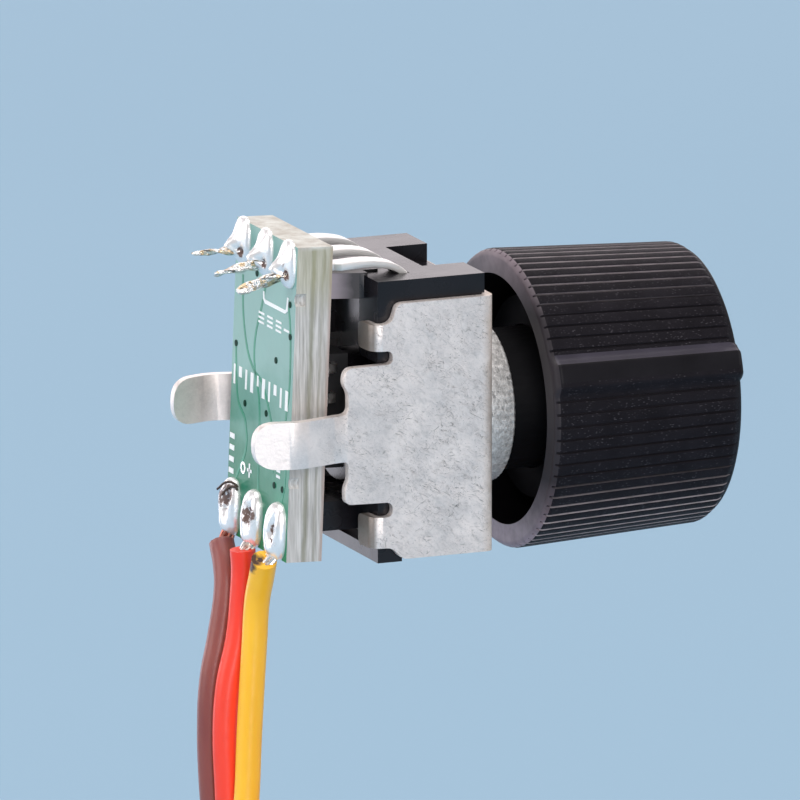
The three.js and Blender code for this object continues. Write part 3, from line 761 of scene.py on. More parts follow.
def insulation(colour, color, patches, scorch=None):
    """Extruded wire insulation, softly mottled, with a scorched mark where one is given."""
    s = Shader(f"insulation_{colour}")
    base = s.mottled(s.noise(2.2, 3, at=s.stretched((1, 1, 3.3))), 0.35, 0.7, color, patches)
    if scorch:
        burnt = s.times(s.near(*scorch), s.level(s.noise(0.3, 4), 0.2, 0.6, 0.6, 1.9))
        base = s.over(base, (0.03, 0.012, 0.006), s.level(burnt, 0.3, 0.75))
    bumps = s.bump(s.noise(0.5, 2), 0.02)
    return s.done(color=base, roughness=0.36, ior=1.46, subsurface=0.06, normal=bumps)


TIN = tin_plate()
ZINC = cast_zinc()
PIN = pin_metal()
SOLDER = solder_metal("solder")
# The dark spots in the pits beside the pins' roots are painted shade.
PIN_SOLDER = solder_metal("pin_solder", [
    ((-8.62, lane - 0.3, PIN_HOLE.z - 0.05), 0.34) for lane in LANES.values()
])
WIRE_SOLDER = solder_metal("wire_solder", [
    ((-9.2, 2.55, -3.75), 0.75),
    ((-9.2, -0.05, -4.05), 0.62),
    ((-9.1, -2.75, -4.1), 0.42),
    ((-9.1, -2.75, -4.6), 0.42),
])
BRONZE = bright_metal("spring_bronze", (0.72, 0.50, 0.24), 0.3, (0.40, 0.22, 0.10))
STRIP = bright_metal("lead_frame", (0.88, 0.87, 0.85), 0.35, (0.45, 0.38, 0.25))
BURNT = bright_metal("burnt_strand", (0.10, 0.075, 0.065), 0.4, (0.03, 0.02, 0.02), 0.8)
FLUXED = bright_metal("fluxed_strands", (0.42, 0.17, 0.13), 0.3, (0.12, 0.04, 0.03), 0.8)
TINNED = bright_metal("tinned_strands", (0.86, 0.80, 0.74), 0.3, (0.32, 0.09, 0.05), 0.9)
HOUSING = black_plastic("housing_plastic", (0.009, 0.0082, 0.0105), 0.26, 0.5, 0.004, 1.4)
# Mauve plastic for the rear faces of the lower leg: painted reflection.
HOUSING_FOOT_REFLECTION = black_plastic("housing_foot_painted_reflection", (0.12, 0.098, 0.112), 0.3, 0.5, 0.004, 1.4)
HOUSING_CHEEK_REFLECTION = cheek_painted_reflection()
KNOB_SMOOTH = black_plastic("knob_smooth", (0.009, 0.0083, 0.0105), 0.44, 0.12, 0.006, 1.22)
# The rim's plastic: pale bands of painted highlight above and below, dark between.
KNOB_RIM = plastic_with_painted_highlight("knob_rim", (0.027, 0.023, 0.027), (0.34, 0.275, 0.315), 6.8)
# Paler plastic on the upper flank of the grip rib: painted highlight.
KNOB_FLANK_HIGHLIGHT = black_plastic("knob_flank_painted_highlight", (0.038, 0.034, 0.048), 0.4, 0.12, 0.006, 1.36)
# The groove walls' plastic: pale bands of painted highlight above and below, dark between.
KNOB_WALL = plastic_with_painted_highlight("knob_wall", (0.020, 0.018, 0.022), (0.46, 0.415, 0.435), 5.2)
KNOB_GROOVE = black_plastic("knob_groove", (0.014, 0.0125, 0.0155), 0.6, 0.12, 0.004, 1.15)
# Nearly black plastic that hardly reflects, for the knob's hollow and bore: painted shade.
KNOB_INSIDE_SHADE = black_plastic("knob_inside_painted_shade", (0.0035, 0.0033, 0.004), 0.6, 0.12, 0.004, 1.05)
KNOB_GRIP = knob_grip()
PLUG_PLASTIC = black_plastic("plug_plastic", (0.02, 0.02, 0.022), 0.4, 0.2, 0.008)
CHIP_EPOXY = black_plastic("chip_epoxy", (0.022, 0.022, 0.024), 0.45, 0.08, 0.008)
MASK = solder_mask()
GLASS = fibreglass()
INK = ink()
TRACE = tinted("trace_under_mask", (0.055, 0.27, 0.175), 0.3, ior=1.22)
VIA = tinted("via_dark_green", (0.004, 0.034, 0.02), 0.45, ior=1.12)
CERAMIC = tinted("ceramic", (0.40, 0.27, 0.15), 0.45)
NYLON = tinted("nylon", (0.72, 0.72, 0.68), 0.4, 0.04)
SHAFT_PLASTIC = black_plastic("shaft_plastic", (0.006, 0.006, 0.007), 0.4, 0.2, 0.004, 1.25)
ACETAL = tinted("rotor_plastic", (0.68, 0.65, 0.55), 0.45, 0.06)
INSULATION = {
    "brown": insulation("brown", (0.25, 0.068, 0.062), (0.185, 0.044, 0.046)),
    "red": insulation("red", (0.95, 0.055, 0.030), (0.84, 0.034, 0.019)),
    "yellow": insulation("yellow", (1.0, 0.53, 0.030), (0.93, 0.43, 0.018),
                         ((-9.85, -2.15, -5.6), 0.62)),
}
for colour in COLOURS:
    wires[colour].data.materials.append(INSULATION[colour])

# ---- bracket


def bracket_section():
    """Seen from above: front plate, bends, sides and the kneed solder lugs."""
    side = BRACKET.half_width
    knee = side + LUG.knee_out
    root = LUG.neck - 0.4
    half = [
        (0, side, 0.5), (root, side, 0.35), (LUG.knee, knee, 0.5), (LUG.tip, side),
        (LUG.tip, side - SHEET), (LUG.knee, knee - SHEET, 0.4), (root, side - SHEET, 0.35),
        (-SHEET, side - SHEET, 0.15),
    ]
    return rounded([*half, *((x, -y, *reach) for x, y, *reach in reversed(half))])


def bracket_side_outline():
    """The side plates seen from the side, with the tabs still straight."""
    low, high, rear = BRACKET.bottom, BRACKET.top, BRACKET.rear
    lug, tip, knee, neck = LUG.half_height, LUG.tip, LUG.knee, LUG.neck
    upper_low, upper_high = TAB.upper
    lower_low, lower_high = TAB.lower
    slot, tab, shoulder = SLOT.end, TAB.bend_start, SHOULDER.rear + 0.1
    return rounded([
        (1, low), (1, high), (rear, high, 0.32),
        (slot - 0.03, upper_high, 0.42), (tab, upper_high), (tab, upper_low),
        (slot, upper_low, 0.28), (slot, SLOT.upper, 0.28), (shoulder, SHOULDER.upper, 0.4),
        (SHOULDER.rear, SHOULDER.upper - 0.7, 0.25), (neck, 2.0, 0.3), (neck, lug, 0.35),
        (knee, lug, 0.1), (tip, lug, 0.96), (tip, -lug, 0.96), (knee, -lug, 0.1),
        (neck, -lug, 0.25), (neck, -1.85, 0.2), (shoulder, -2.1, 0.2),
        (shoulder, SHOULDER.lower, 0.3), (slot, SHOULDER.lower - 0.06, 0.3),
        (slot, lower_high, 0.3), (tab, lower_high), (tab, lower_low), (slot, lower_low, 0.3),
        (rear + 0.2, low, 0.3),
    ])


def crimp_tab(side, low, high):
    """Goes on from the side plate, turns a quarter round and lies behind the housing."""
    outer = BRACKET.half_width - SHEET / 2
    rear = TAB.rear + SHEET / 2
    radius = TAB.turn_radius
    bent = outer - radius
    line = [(TAB.bend_start + 0.2, outer), (rear + radius, outer)]
    for step in range(1, 9):
        turn = math.radians(90 * step / 8)
        line.append((rear + radius * (1 - math.sin(turn)), outer - radius * (1 - math.cos(turn))))
    for share in (0.5, 0.75, 0.83, 0.9, 0.96, 1.0):
        line.append((rear - 0.06 * share, bent + (TAB.inner - bent) * share))
    line = [Vector((x, y * side, (low + high) / 2)) for x, y in line]

    def half_width(left):
        inset = TAB.corner - min(left, TAB.corner)
        lost = TAB.corner - math.sqrt(TAB.corner**2 - inset**2) - (0.001 if inset else 0)
        return (high - low) / 2 - lost

    return strip("tab", line, (0, 0, 1), half_width, SHEET)


def make_bracket():
    low, high = BRACKET.bottom - 1, BRACKET.top + 1
    shell = prism("bracket_shell", bracket_section(), low, high, "xy")
    reach = BRACKET.half_width + 1
    combine(shell, "INTERSECT", prism("sides", bracket_side_outline(), -reach, reach, "xz"))
    tabs = [crimp_tab(side, *span) for side in (-1, 1) for span in (TAB.upper, TAB.lower)]
    combine(shell, "UNION", *tabs)
    combine(shell, "DIFFERENCE", rod("hole", -1, 1, COLLAR.radius + 0.03, 96))
    soften(shell, 0.045, 2, 40)
    finish_piece(shell, "tin_plate", "frame_bracket", materials=[TIN])


def make_collar():
    """Cast collar with a fine serration round its front edge."""
    front, radius, bore = COLLAR.front, COLLAR.radius, COLLAR.bore
    count = COLLAR.serrations

    def serrated(x, plain, degrees):
        if x < front - 0.3 or plain < bore + 0.1:
            return plain
        share = 0.5 + 0.5 * math.cos(math.radians(degrees * count))
        return plain - COLLAR.serration_depth * share

    collar = turned("cast_collar", [
        (-SHEET, bore), (-SHEET, radius), (0.25, radius), (front - 0.32, radius),
        (front - 0.24, radius - 0.01), (front - 0.08, radius - 0.03), (front, radius - 0.12),
        (front, bore + 0.12), (front - 0.08, bore),
    ], count * 5, serrated, closed=True)
    shade(collar)
    finish_piece(collar, "cast_zinc", "bushing_collar", materials=[ZINC])


make_bracket()
make_collar()

# ---- housing and terminals


def housing_finish(at, normal):
    """The rear faces of the legs and cheeks are paler than the rest: painted reflection of the
    light behind.
    """
    if at.z < -LEG_START and normal.x < -0.8:
        return HOUSING_FOOT_REFLECTION
    if at.z > LEG_START and at.x < CHEEK_FRONT and normal.x < -0.25:
        return HOUSING_CHEEK_REFLECTION
    return HOUSING


def make_housing():
    """The moulded body, with a sloping cheek on each side of the upper leg. Its front part
    ends just above the bracket's lower edge."""
    shell = copy_of_node("housing_shell", "housing")
    cheek = [(-5.0, 2.78), (-5.35, 2.7), (-6.72, 2.21), (-6.72, 2.0), (-5.0, 2.0)]
    for side in (-1, 1):
        outline = [(x, y * side) for x, y in cheek]
        combine(shell, "UNION", prism("cheek", outline, 5.5, 6.6, "xy"))
    trim = block("trim", (-4.05, 1), (-5, 5), (-7, BRACKET.bottom + 0.06))
    combine(shell, "DIFFERENCE", trim)
    soften(shell, 0.07, 3, 40)
    finish_piece(shell, "housing_plastic", "housing", choose=housing_finish,
                 materials=[HOUSING, HOUSING_FOOT_REFLECTION, HOUSING_CHEEK_REFLECTION])


def terminal_line(name, lane):
    """Contact finger, leg through the housing's roof, arch over to the board, and pin."""
    finger = 2.3 if name == "common" else 1.5
    hole, droop = PIN_HOLE.z, PIN_DROOP[name]
    points = [
        (-2.97, finger), (-3.1, finger + 1.2), (-3.12, 5.2), (-3.2, 6.1), (-3.75, 6.72),
        (-4.8, 6.98), (-6.0, 6.98), (-7.4, 6.88), (-9.2, hole - droop * 0.35),
        (LUG.tip + 0.1, hole - droop),
    ]
    return smooth_line([(x, lane, z) for x, z in points], 10)


def make_terminal(name, lane):
    """A blade whose pin, beyond the board, is slimmer, uneven, twisted and blunt at its tip."""
    wide, narrow = TERMINAL.half_width, TERMINAL.pin_half_width

    def slimmed(left):
        return PIN_SLIM[name] + (1 - PIN_SLIM[name]) * clamped((left - 0.6) / 2.2)

    def half_width(left):
        if left > FINGER_START:
            return narrow
        arch = clamped((left - SHOULDER_START) / 0.25)
        uneven = 1 + (1 - arch) * 0.12 * math.sin(7.3 * left + lane)
        blunt = 0.55 + 0.45 * math.sqrt(clamped(left / 0.22))
        return (narrow * slimmed(left) + (wide - narrow) * arch) * blunt * uneven

    def thickness(left):
        blunt = 0.45 + 0.55 * math.sqrt(clamped(left / 0.25))
        return TERMINAL.thickness * blunt * slimmed(left)

    def twist(left):
        return max(SHOULDER_START - 1.6 - left, 0) * PIN_TWIST[name]

    line = terminal_line(name, lane)
    blade = strip(f"contact_blade_{name}", line, (0, 1, 0), half_width, thickness, twist)
    soften(blade, 0.05, 2, 50)
    finish_piece(blade, "terminal_metal", f"terminal_{name}", materials=[PIN])


make_housing()
for name, lane in LANES.items():
    make_terminal(name, lane)

# ---- board

BOARD_PLACE = (
    Matrix.Translation(Vector((BOARD.x, 0, BOARD.z)) * MM)
    @ Matrix.Rotation(math.radians(BOARD.lean), 4, "Y")
)
BACK = -BOARD.thickness  # the board's rear face, in its own frame


def on_board(obj):
    """Moves a piece made in the board's own frame to its place."""
    obj.data.transform(BOARD_PLACE)
    return obj


def up_board(z):
    """A height in the part's frame, in the board's own frame."""
    return z - BOARD.z


def board_finish(at, normal):
    depth = (BOARD_PLACE.inverted() @ (at * MM)).x / MM
    flat = min(abs(depth), abs(depth - BACK)) < 0.04
    return MASK if flat and abs(normal.x) > 0.8 else GLASS


def make_board():
    half, high = BOARD.width / 2, BOARD.height / 2
    panel = block("board_panel", (BACK, 0), (-half, half), (-high, high))
    cuts = [
        rod("hole", BACK - 1, 1, PIN_HOLE.radius, 32, lane, up_board(PIN_HOLE.z))
        for lane in LANES.values()
    ]
    for z, depth in NICKS:
        y = depth - half - NICK_RADIUS
        cuts.append(rod("nick", BACK - 1, BACK + 0.45, NICK_RADIUS, 24, y, up_board(z)))
    combine(panel, "DIFFERENCE", *cuts)
    soften(panel, 0.05, 2, 60)
    finish_piece(on_board(panel), "board", "circuit_board", materials=[GLASS, MASK],
                 choose=board_finish)


def stroke(points, width):
    """The outline of an even stroke through (y, height) points."""
    knots = [Vector((y, up_board(z))) for y, z in points]
    left, right = [], []
    for i, at in enumerate(knots):
        along = (knots[min(i + 1, len(knots) - 1)] - knots[max(i - 1, 0)]).normalized()
        before = (at - knots[i - 1]).normalized() if i > 0 else along
        reach = width / 2 / max(abs(along.dot(before)), 0.5)
        side = Vector((-along.y, along.x)) * reach
        left.append(at + side)
        right.insert(0, at - side)
    return left + right


def disc(y, z, radius, count=20):
    turns = [2 * math.pi * i / count for i in range(count)]
    return [(y + radius * math.cos(t), up_board(z) + radius * math.sin(t)) for t in turns]


def flat_marks(name, outlines, thickness, material):
    """Thin raised shapes on the board's rear face, from outlines in its own frame."""
    marks = [prism("mark", outline, BACK - thickness, BACK + 0.02, "yz") for outline in outlines]
    obj = on_board(joined(name, marks))
    shade(obj)
    finish_piece(obj, "board", materials=[material])


def make_marks():
    """Generic outlines, ticks and dots in white ink, in place of any lettering."""
    lines = [
        (0.15, (0.13, 5.45), (0.12, 5.15), (-0.05, 5.04), (-2.25, 5.04), (-2.45, 5.16),
         (-2.5, 5.7)),
        (0.1, (-2.2, 4.28), (-2.75, 4.28)),
        (0.13, (1.25, -2.45), (0.75, -2.45)),
        (0.13, (1.0, -2.15), (1.0, -2.75)),
        (0.12, (-1.95, -1.8), (-2.35, -1.8)),
        (0.12, (-1.95, -2.05), (-2.35, -2.05)),
    ]
    for y in (0.3, -0.65, -1.6):
        for z in (4.48, 4.28, 4.08):
            lines.append((0.09, (y + 0.3, z), (y - 0.3, z)))
    for i in range(10):
        y = 3.0 - i * 0.64
        foot = 0.9 if i % 3 != 1 else 1.3
        lines.append((0.3 if i % 2 else 0.17, (y, 1.75), (y, foot)))
    for z in (-1.35, -1.85, -2.35, -2.85):
        lines.append((0.22, (3.25, z), (2.75, z)))
    outlines = [stroke(points, width) for width, *points in lines]
    flat_marks("board_ink", outlines, 0.02, INK)


def make_traces():
    routes = [
        [(-2.5, 5.6), (-2.9, 4.2), (-3.0, 2.0), (-2.7, 0.2), (-2.9, -2.0), (-2.5, -3.2)],
        [(0, 5.7), (0.4, 4.6), (0.9, 3.4), (0.9, 2.2), (0.2, 0.6), (0.1, -1.6), (0, -3.1)],
        [(2.5, 5.7), (2.3, 4.0), (1.7, 2.6), (0.9, 1.9), (-0.2, 1.4), (-1.4, -0.4), (-1.5, -2.0)],
        [(3.0, 2.6), (2.6, 0.4), (1.7, -0.4), (1.5, -1.6), (2.5, -3.1)],
    ]
    outlines = [stroke(smooth_line(route, 5), 0.16) for route in routes]
    flat_marks("board_traces", outlines, 0.012, TRACE)


def make_vias():
    """Dark caps over the vias, and one open plated hole."""
    places = [(-2.75, 5.45), (-2.9, 4.1), (2.95, 2.65), (-1.45, 2.8), (1.75, 0.3), (-0.6, 0.35),
              (-1.75, -2.5), (-2.65, -2.5), (-0.9, -1.2), (2.2, 6.05), (0.95, 6.05)]
    flat_marks("via_caps", [disc(y, z, 0.14) for y, z in places], 0.03, VIA)
    y, z = 1.68, up_board(-2.46)
    plated = rod("plated_hole", BACK - 0.03, BACK + 0.05, 0.26, 28, y, z)
    combine(plated, "DIFFERENCE", rod("bore", BACK - 1, BACK + 1, 0.15, 28, y, z))
    shade(on_board(plated))
    finish_piece(plated, "solder", materials=[SOLDER])


make_board()
make_marks()
make_traces()
make_vias()

# ---- solder joints


def squared(ratio):
    """A sine or cosine pushed outwards, so that an ellipse drawn with it has fuller ends."""
    return math.copysign(abs(ratio) ** 0.76, ratio)


def mound(name, centre, half_y, half_z, height_at, rings, segments):
    """A closed solder joint round a (y, z) centre on the board's rear face. height_at takes a
    place on the unit disc and gives the height there in mm."""
    y, z = centre[0], up_board(centre[1])
    turns = [2 * math.pi * i / segments for i in range(segments)]
    rim = [(squared(math.cos(t)) * half_y, squared(math.sin(t)) * half_z) for t in turns]
    verts = [(BACK - height_at(0, 0), y, z)]
    for ring in range(1, rings + 1):
        share = math.sin(math.pi / 2 * ring / rings)
        for t, (wide, tall) in zip(turns, rim):
            height = height_at(share * math.cos(t), share * math.sin(t))
            verts.append((BACK - height, y + share * wide, z + share * tall))
    verts += [(BACK + 0.03, y + wide, z + tall) for wide, tall in rim]
    faces = [(0, 1 + i, 1 + (i + 1) % segments) for i in range(segments)]
    for a in range(1, 1 + rings * segments, segments):
        b = a + segments
        for i in range(segments):
            j = (i + 1) % segments
            faces.append((a + i, b + i, b + j, a + j))
    faces.append(tuple(range(len(verts) - segments, len(verts))))
    joint = on_board(new_object(name, verts, faces))
    shade(joint, 70)
    return joint


def hump(u, v, at_u, at_v, spread_u, spread_v):
    """1 at a place on the unit disc, falling smoothly round it."""
    return math.exp(-(((u - at_u) / spread_u) ** 2) - ((v - at_v) / spread_v) ** 2)


def wobble(u, v, seed, scale):
    return noise.noise(Vector((u * scale, v * scale, seed)))


def inside_edge(u, v):
    """1 at the middle of the unit disc, falling to 0 at its edge."""
    return max(1 - u * u - v * v, 0)


def make_terminal_joint(name, lane, seed):
    """Solder that climbs the pin, with a small pit beside the pin's root, painted dark as shade by
    its material.
    """
    pin_v = -0.28  # where the pin stands on the joint's unit disc

    def height(u, v):
        edge = inside_edge(u, v)
        rise = 0.36 * edge**0.42 + 0.1 * hump(u, v, 0.05, 0.3, 0.5, 0.6) * edge
        climb = 0.5 * hump(u, v, 0.12, pin_v + 0.06, 0.42, 0.34) * min(edge * 1.6, 1)
        pit = 0.42 * hump(u, v, -0.42, pin_v, 0.2, 0.15) * edge
        uneven = 0.03 * wobble(u, v, seed, 2.4) * edge
        return max(rise + climb - pit + uneven, 0.0)

    joint = mound(f"pin_joint_{name}", (lane, PIN_HOLE.z + 0.29), 0.74, 1.04, height, 16, 48)
    finish_piece(joint, "solder", f"terminal_solder_{name}", materials=[PIN_SOLDER])


def make_wire_joint(colour, lane, seed):
    """A long smooth joint over the stripped wire's end, sunk in its middle, with a tail that
    runs down to the insulation."""
    shift = {"brown": 0.1, "red": 0.16, "yellow": 0.06}[colour]

    def height(u, v):
        edge = inside_edge(u, v)
        valley = hump(u, v, -0.3, 0.12, 0.26, 0.5)
        tail = hump(u, v, 0.0, -0.75, 0.4, 0.3)
        uneven = 0.08 * wobble(u, v, seed, 1.7)
        return max(0.62 * edge**0.42 - 0.3 * valley + 0.2 * tail * edge + uneven * edge, 0.0)

    joint = mound(f"wire_joint_{colour}", (lane + shift, WIRE_PAD_Z - 0.12), 0.76, 1.24, height,
                  20, 56)
    finish_piece(joint, "solder", f"wire_solder_{colour}", materials=[WIRE_SOLDER])


def make_conductor(colour, lane, seed):
    """The stripped end: twisted strands from inside the insulation up into the joint."""
    start = Vector(ROUTES[colour][0]) - Vector((0, 0, 0.4))
    pad = Vector((-8.95, lane + 0.12, -4.9))
    strands = []
    for i in range(STRAND.count):
        points = []
        for step in range(7):
            share = step / 6
            turn = 2 * math.pi * i / STRAND.count + STRAND.twist * share + seed
            radius = (STRAND.ring if i else 0) * (1 + 0.25 * math.sin(math.pi * share))
            aside = Vector((math.cos(turn), math.sin(turn), 0)) * radius
            points.append(start.lerp(pad, share) + aside)
        curve = smooth_curve("strand", points, STRAND.diameter, 2, 4)
        strands.append(add_object("strand", final_mesh(curve)))
        bpy.data.objects.remove(curve, do_unlink=True)
    bundle = joined(f"strands_{colour}", strands)
    shade(bundle)
    finish_piece(bundle, "solder", materials=[FLUXED if colour == "brown" else TINNED])
    return bundle


def make_stray_strands():
    """Two fine strands that missed the brown wire's joint."""
    routes = {
        "stray_strand_upper": [(-8.95, 2.0, -3.3), (-9.05, 2.05, -3.17), (-9.3, 2.21, -3.08),
                               (-9.6, 2.7, -3.47)],
        "stray_strand_lower": [(-9.0, 1.9, -3.4), (-9.1, 1.94, -3.26), (-9.3, 2.3, -3.4),
                               (-9.5, 2.42, -3.66)],
    }
    for name, points in routes.items():
        finish_piece(smooth_curve(name, points, 0.1), "solder", materials=[BURNT])


for seed, (name, lane) in enumerate(LANES.items()):
    make_terminal_joint(name, lane, seed * 5.3)
for seed, colour in enumerate(COLOURS):
    lane = LANE_ORDER[colour] * PITCH
    make_wire_joint(colour, lane, 2.0 + seed * 7.7)
    make_conductor(colour, lane, seed)
make_stray_strands()

# ---- chip and small parts


def gull_wing_lead(side, z):
    """A flat lead from the package's side down to its pad, in the board's own frame."""
    points = [(0.75, 1.85), (0.75, 2.15), (0.7, 2.3), (0.2, 2.42), (0.1, 2.55), (0.09, 3.0)]
    line = smooth_line([(x, y * side, z) for x, y in points], 4)
    return strip("lead", line, (0, 0, 1), 0.2, 0.15)


def make_chip():
    middle = up_board(CHIP.z)
    half_y, half_z = CHIP.width / 2, CHIP.length / 2
    low, high = CHIP.standoff, CHIP.standoff + CHIP.thickness
    body = block("package_body", (low, high), (-half_y, half_y), (middle - half_z, middle + half_z))
    combine(body, "DIFFERENCE", rod("dimple", high - 0.08, high + 1, 0.3, 32, 1.3, middle + 1.8))
    soften(body, 0.09, 2, 60)
    finish_piece(on_board(body), "chip", "controller_chip", materials=[CHIP_EPOXY])
    first = middle - (CHIP.leads - 1) / 2 * CHIP.pitch
    row = joined("package_leads", [
        gull_wing_lead(side, first + i * CHIP.pitch)
        for side in (-1, 1) for i in range(CHIP.leads)
    ])
    soften(row, 0.03, 1, 50)
    finish_piece(on_board(row), "chip", "controller_chip", materials=[STRIP])


def make_small_part(name, node, material, slot):
    """A body with a metal cap at each end."""
    part = copy_of_node(name, node)
    soften(part, 0.04, 2, 40)
    finish_piece(part, slot, node, materials=[material, PIN])
    low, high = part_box(node)
    middle = (low[1] + high[1]) / 2
    for face in part.data.polygons:
        face.material_index = 1 if abs(face.center.y - middle) > CAP_START * MM else 0


make_chip()
make_small_part("capacitor_body", "chip_capacitor", CERAMIC, "ceramic")
make_small_part("resistor_body", "chip_resistor", CHIP_EPOXY, "chip")

# ---- knob

# Half a flute, from a land's middle (0) to a groove's middle (1), with the depth there (0 to 1).
FLUTE_SHAPE = ((0.0, 0.0), (0.22, 0.0), (0.58, 0.03), (0.8, 0.12), (0.845, 1.0))
HALF_FLUTE = 180 / FLUTE.count

# How a land rises from the smooth rim at each end of the flutes, in steps of so many mm.
FLUTE_FADE = tuple(enumerate((0.0, 0.45, 0.75, 0.93, 1.0)))
FLUTE_FADE_STEP = 0.07


def flute_angles():
    """Where the points of every land and groove lie round the knob, in degrees."""
    offsets = [share * HALF_FLUTE for share, depth in FLUTE_SHAPE[1:]]
    offsets = [-offset for offset in reversed(offsets)] + offsets
    middles = [2 * HALF_FLUTE * (i + 0.5) for i in range(FLUTE.count)]
    return [middle + offset for middle in middles for offset in offsets]


def flute_depth(degrees):
    """Depth of the surface below the lands, from 0 to 1, at an angle round the knob."""
    return between(FLUTE_SHAPE, abs((degrees / HALF_FLUTE) % 2 - 1))


def ridge_height(degrees):
    """Height of the grip rib, from 0 to 1, and None away from it."""
    away = degrees - RIDGE.angle
    half = RIDGE.half_angle
    start, end = RIDGE.crest
    if abs(away) > half:
        return None
    if away < start:
        return ((away + half) / (half + start)) ** 1.7
    if away > end:
        return 1 - ((away - end) / (half - end)) ** 1.5
    return 1.0


def knob_radius(x, radius, degrees):
    if radius < KNOB_SKIN:
        return radius
    ridge = ridge_height(degrees)
    if ridge is not None:
        swell = math.sqrt(clamped((x - KNOB.rim) / 0.3))
        return radius - FLUTE.depth + (RIDGE.height * ridge + FLUTE.depth) * swell
    steps = min(x - FLUTE.start, FLUTE.end - x) / FLUTE_FADE_STEP
    land = between(FLUTE_FADE, max(steps, 0)) * (1 - flute_depth(degrees))
    return radius - FLUTE.depth * (1 - land)


def knob_profile():
    rim, front = KNOB.rim, KNOB.front
    first, last = KNOB.rim_radius, KNOB.front_radius
    fades = [FLUTE_FADE_STEP * i for i, share in FLUTE_FADE]
    places = [FLUTE.start + fade for fade in fades]
    places += [rim + (front - rim) * share for share in (0.12, 0.3, 0.5, 0.7, 0.88)]
    places += [FLUTE.end - fade for fade in reversed(fades)]
    slope = (last - first) / (front - rim)
    return [
        (rim, 0), (rim, first - 0.2), (rim + 0.03, first - 0.06),
        *((x, first + slope * (x - rim)) for x in places),
        (front - 0.16, last - 0.06), (front - 0.07, last - 0.13), (front, last - 0.26),
        (front, last - 0.7), (front - 0.06, last - 0.85), (front - 0.12, last - 1.4),
        (front - 0.16, 0),
    ]


def knob_hollow():
    """What is cut from the back of the knob: a ring round the boss, crossed by the ribs."""
    rim, floor, hollow, boss = KNOB.rim, BOSS.floor, KNOB.hollow, BOSS.radius
    ring = turned("hollow", [
        (rim - 1, 0), (rim - 1, hollow + 0.12), (rim + 0.02, hollow + 0.08),
        (rim + 0.12, hollow), (floor, hollow - 0.15), (floor, boss), (BOSS.start, boss),
        (BOSS.start, 0),
    ], 128)
    half = BOSS.rib_thickness / 2
    for i in range(BOSS.ribs):
        rib = block("rib", (BOSS.rib_start, floor + 0.1), (boss - 0.3, hollow + 0.2),
                    (-half, half))
        rib.data.transform(Matrix.Rotation(2 * math.pi * (i + 0.5) / BOSS.ribs, 4, "X"))
        combine(ring, "DIFFERENCE", rib)
    return ring


def knob_bore():
    bore = rod("bore", BOSS.start - 1, SHAFT.end + 0.1, SHAFT.radius + 0.06, 96)
    flat = block("flat", (SHAFT.flat_start + 0.1, KNOB.front), (-4, 4),
                 (SHAFT.flat_height + 0.05, 4))
    return combine(bore, "DIFFERENCE", flat)


def knob_finish(at, normal):
    """The material at a place on the knob: its moulded finishes, with painted shade inside and
    painted highlight on the rim, the groove walls and the rib's upper flank.
    """
    degrees = math.degrees(math.atan2(at.z, at.y)) % 360
    if at.x < KNOB.rim + 0.02:
        return KNOB_RIM
    if math.hypot(at.y, at.z) < KNOB_SKIN:
        return KNOB_SMOOTH if at.x > KNOB.front - 0.2 else KNOB_INSIDE_SHADE
    if at.x < FLUTE.start + FLUTE_FADE_STEP * 2:
        return KNOB_RIM
    if at.x > FLUTE.end + 0.1:
        return KNOB_SMOOTH
    if ridge_height(degrees) is not None:
        away = degrees - RIDGE.angle
        start, end = RIDGE.smooth
        if away < start:
            return KNOB_FLANK_HIGHLIGHT
        return KNOB_SMOOTH if away < end else KNOB_GRIP
    depth = flute_depth(degrees)
    if depth < 0.3:
        return KNOB_GRIP
    return KNOB_GROOVE if depth > 0.9 else KNOB_WALL


def make_knob():
    knob = turned("fluted_knob", knob_profile(), flute_angles(), knob_radius)
    combine(knob, "DIFFERENCE", knob_hollow(), knob_bore())
    shade(knob, 50)
    materials = [KNOB_SMOOTH, KNOB_GRIP, KNOB_WALL, KNOB_GROOVE, KNOB_FLANK_HIGHLIGHT, KNOB_INSIDE_SHADE, KNOB_RIM]
    finish_piece(knob, "knob_plastic", "knob", body="rotor", materials=materials,
                 choose=knob_finish)


make_knob()

# ---- lead: tie and plug


def make_tie():
    """A nylon strap round the wound turns, with its head on the outside."""
    loop = copy_of_node("tie_strap", "coil_tie")
    low, high = (Vector(corner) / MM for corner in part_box("coil_tie"))
    middle = (low.y + high.y) / 2
    head = block("head", (high.x - 0.35, high.x + 1.0), (middle - 1.5, middle + 1.5),
                 (low.z - 0.3, high.z + 0.3))
    opening = block("opening", (high.x + 0.25, high.x + 0.65), (middle - 2, middle + 2),
                    (low.z + 0.25, high.z - 0.25))
    combine(head, "DIFFERENCE", opening)
    combine(loop, "UNION", head)
    soften(loop, 0.12, 2, 40)
    finish_piece(loop, "tie", "coil_tie", materials=[NYLON])
    return loop


def make_plug():
    """Socket housing with a window and a shallow groove over each contact."""
    shell = copy_of_node("socket_shell", "plug_housing")
    face = COIL_ENTRY_X - PLUG.thickness / 2
    top, half = PLUG.top, PLUG.half_slot
    for order in (-1, 0, 1):
        y = order * PLUG.pitch - COIL_DEPTH
        across = (y - half, y + half)
        window = block("window", (face - 1, COIL_ENTRY_X), across, (top - 8.2, top - 5.4))
        groove = block("groove", (face - 1, face + 0.18), across, (top - 4.2, top - 1.2))
        combine(shell, "DIFFERENCE", window, groove)
    soften(shell, 0.1, 2, 40)
    finish_piece(shell, "plug", "plug_housing", materials=[PLUG_PLASTIC])
    return shell


CONTACTS = ("plug_contact_1", "plug_contact_2", "plug_contact_3")
red_pieces = [make_tie(), make_plug(), *(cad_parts[node] for node in CONTACTS)]

# ---- CAD nodes that stay

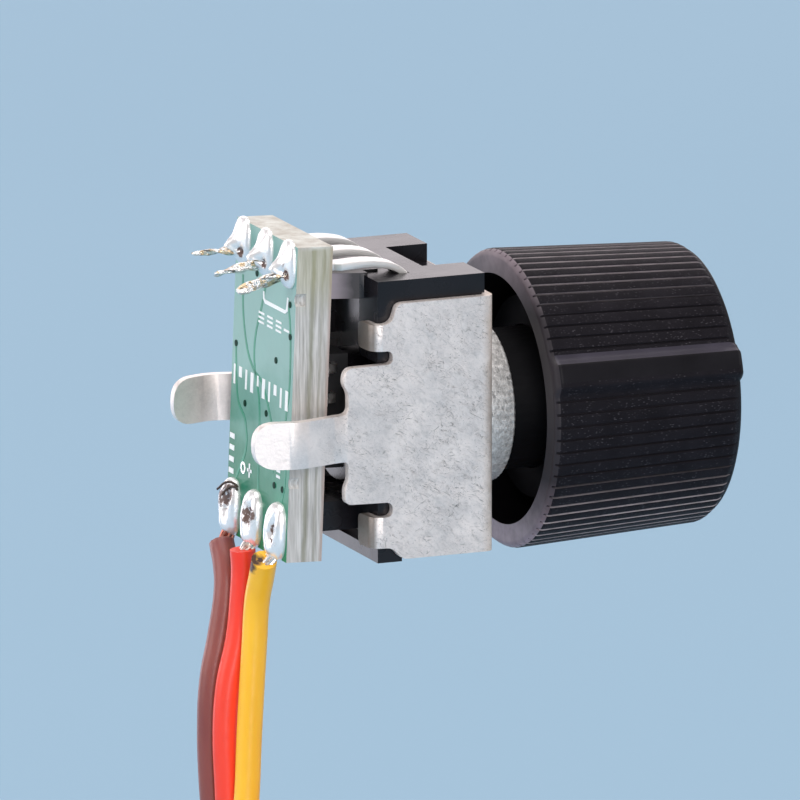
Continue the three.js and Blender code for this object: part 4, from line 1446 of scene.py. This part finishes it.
KEPT = {"shaft": SHAFT_PLASTIC, "rotor_hub": ACETAL}
KEPT |= dict.fromkeys(("code_disc", "detent_spring", *CONTACTS), BRONZE)
for node, material in KEPT.items():
    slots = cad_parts[node].material_slots
    if slots:
        slots[0].material = material
    else:
        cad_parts[node].data.materials.append(material)

# ---- stage and light


def make_floor():
    half = FLOOR.half_width
    corners = [(-half, -half), (half, -half), (half, half), (-half, half)]
    floor = new_object("floor", [(x, y, FLOOR.z) for x, y in corners], [(0, 1, 2, 3)])
    s = Shader("floor")
    tone = s.mottled(s.noise(180, 2), 0.3, 0.7, (0.262, 0.425, 0.556), (0.286, 0.45, 0.582))
    floor.data.materials.append(s.done(color=tone, roughness=0.85))


def soft_box(name, place, size, watts, color):
    """A large square light that faces the object from a place in mm."""
    data = bpy.data.lights.new(name, "AREA")
    data.shape = "SQUARE"
    data.size = size * MM
    data.energy = watts
    data.color = color
    light = add_object(name, data)
    light.location = Vector(place) * MM
    light.rotation_mode = "QUATERNION"
    light.rotation_quaternion = (-Vector(place)).to_track_quat("-Z", "Y")
    light.visible_camera = False


def make_world():
    world = bpy.data.worlds.new("studio")
    world.use_nodes = True
    background = world.node_tree.nodes["Background"]
    background.inputs["Color"].default_value = (1.0, 0.955, 0.965, 1)
    background.inputs["Strength"].default_value = 0.36
    bpy.context.scene.world = world


make_floor()
make_world()
soft_box("top", (-60, 60, 560), 520, 2.3, (1.0, 0.965, 0.955))
soft_box("back_right", (260, 640, 190), 620, 1.7, (1.0, 0.92, 0.96))
soft_box("back_left", (-330, 760, 60), 460, 1.4, (1.0, 0.91, 0.96))
soft_box("back_card", (-75, 180, -36), 56, 0.022, (1.0, 0.90, 0.95))
soft_box("left", (-620, 120, 200), 480, 1.9, (1.0, 0.95, 0.96))
soft_box("front", (-180, -700, 320), 300, 2.1, (1.0, 0.965, 0.955))
soft_box("front_low", (-125, -470, -3), 112, 0.42, (1.0, 0.95, 0.95))
soft_box("right", (640, -200, 160), 360, 0.8, (1.0, 0.96, 0.96))

bpy.context.scene.view_settings.view_transform = "Standard"
bpy.context.view_layer.update()
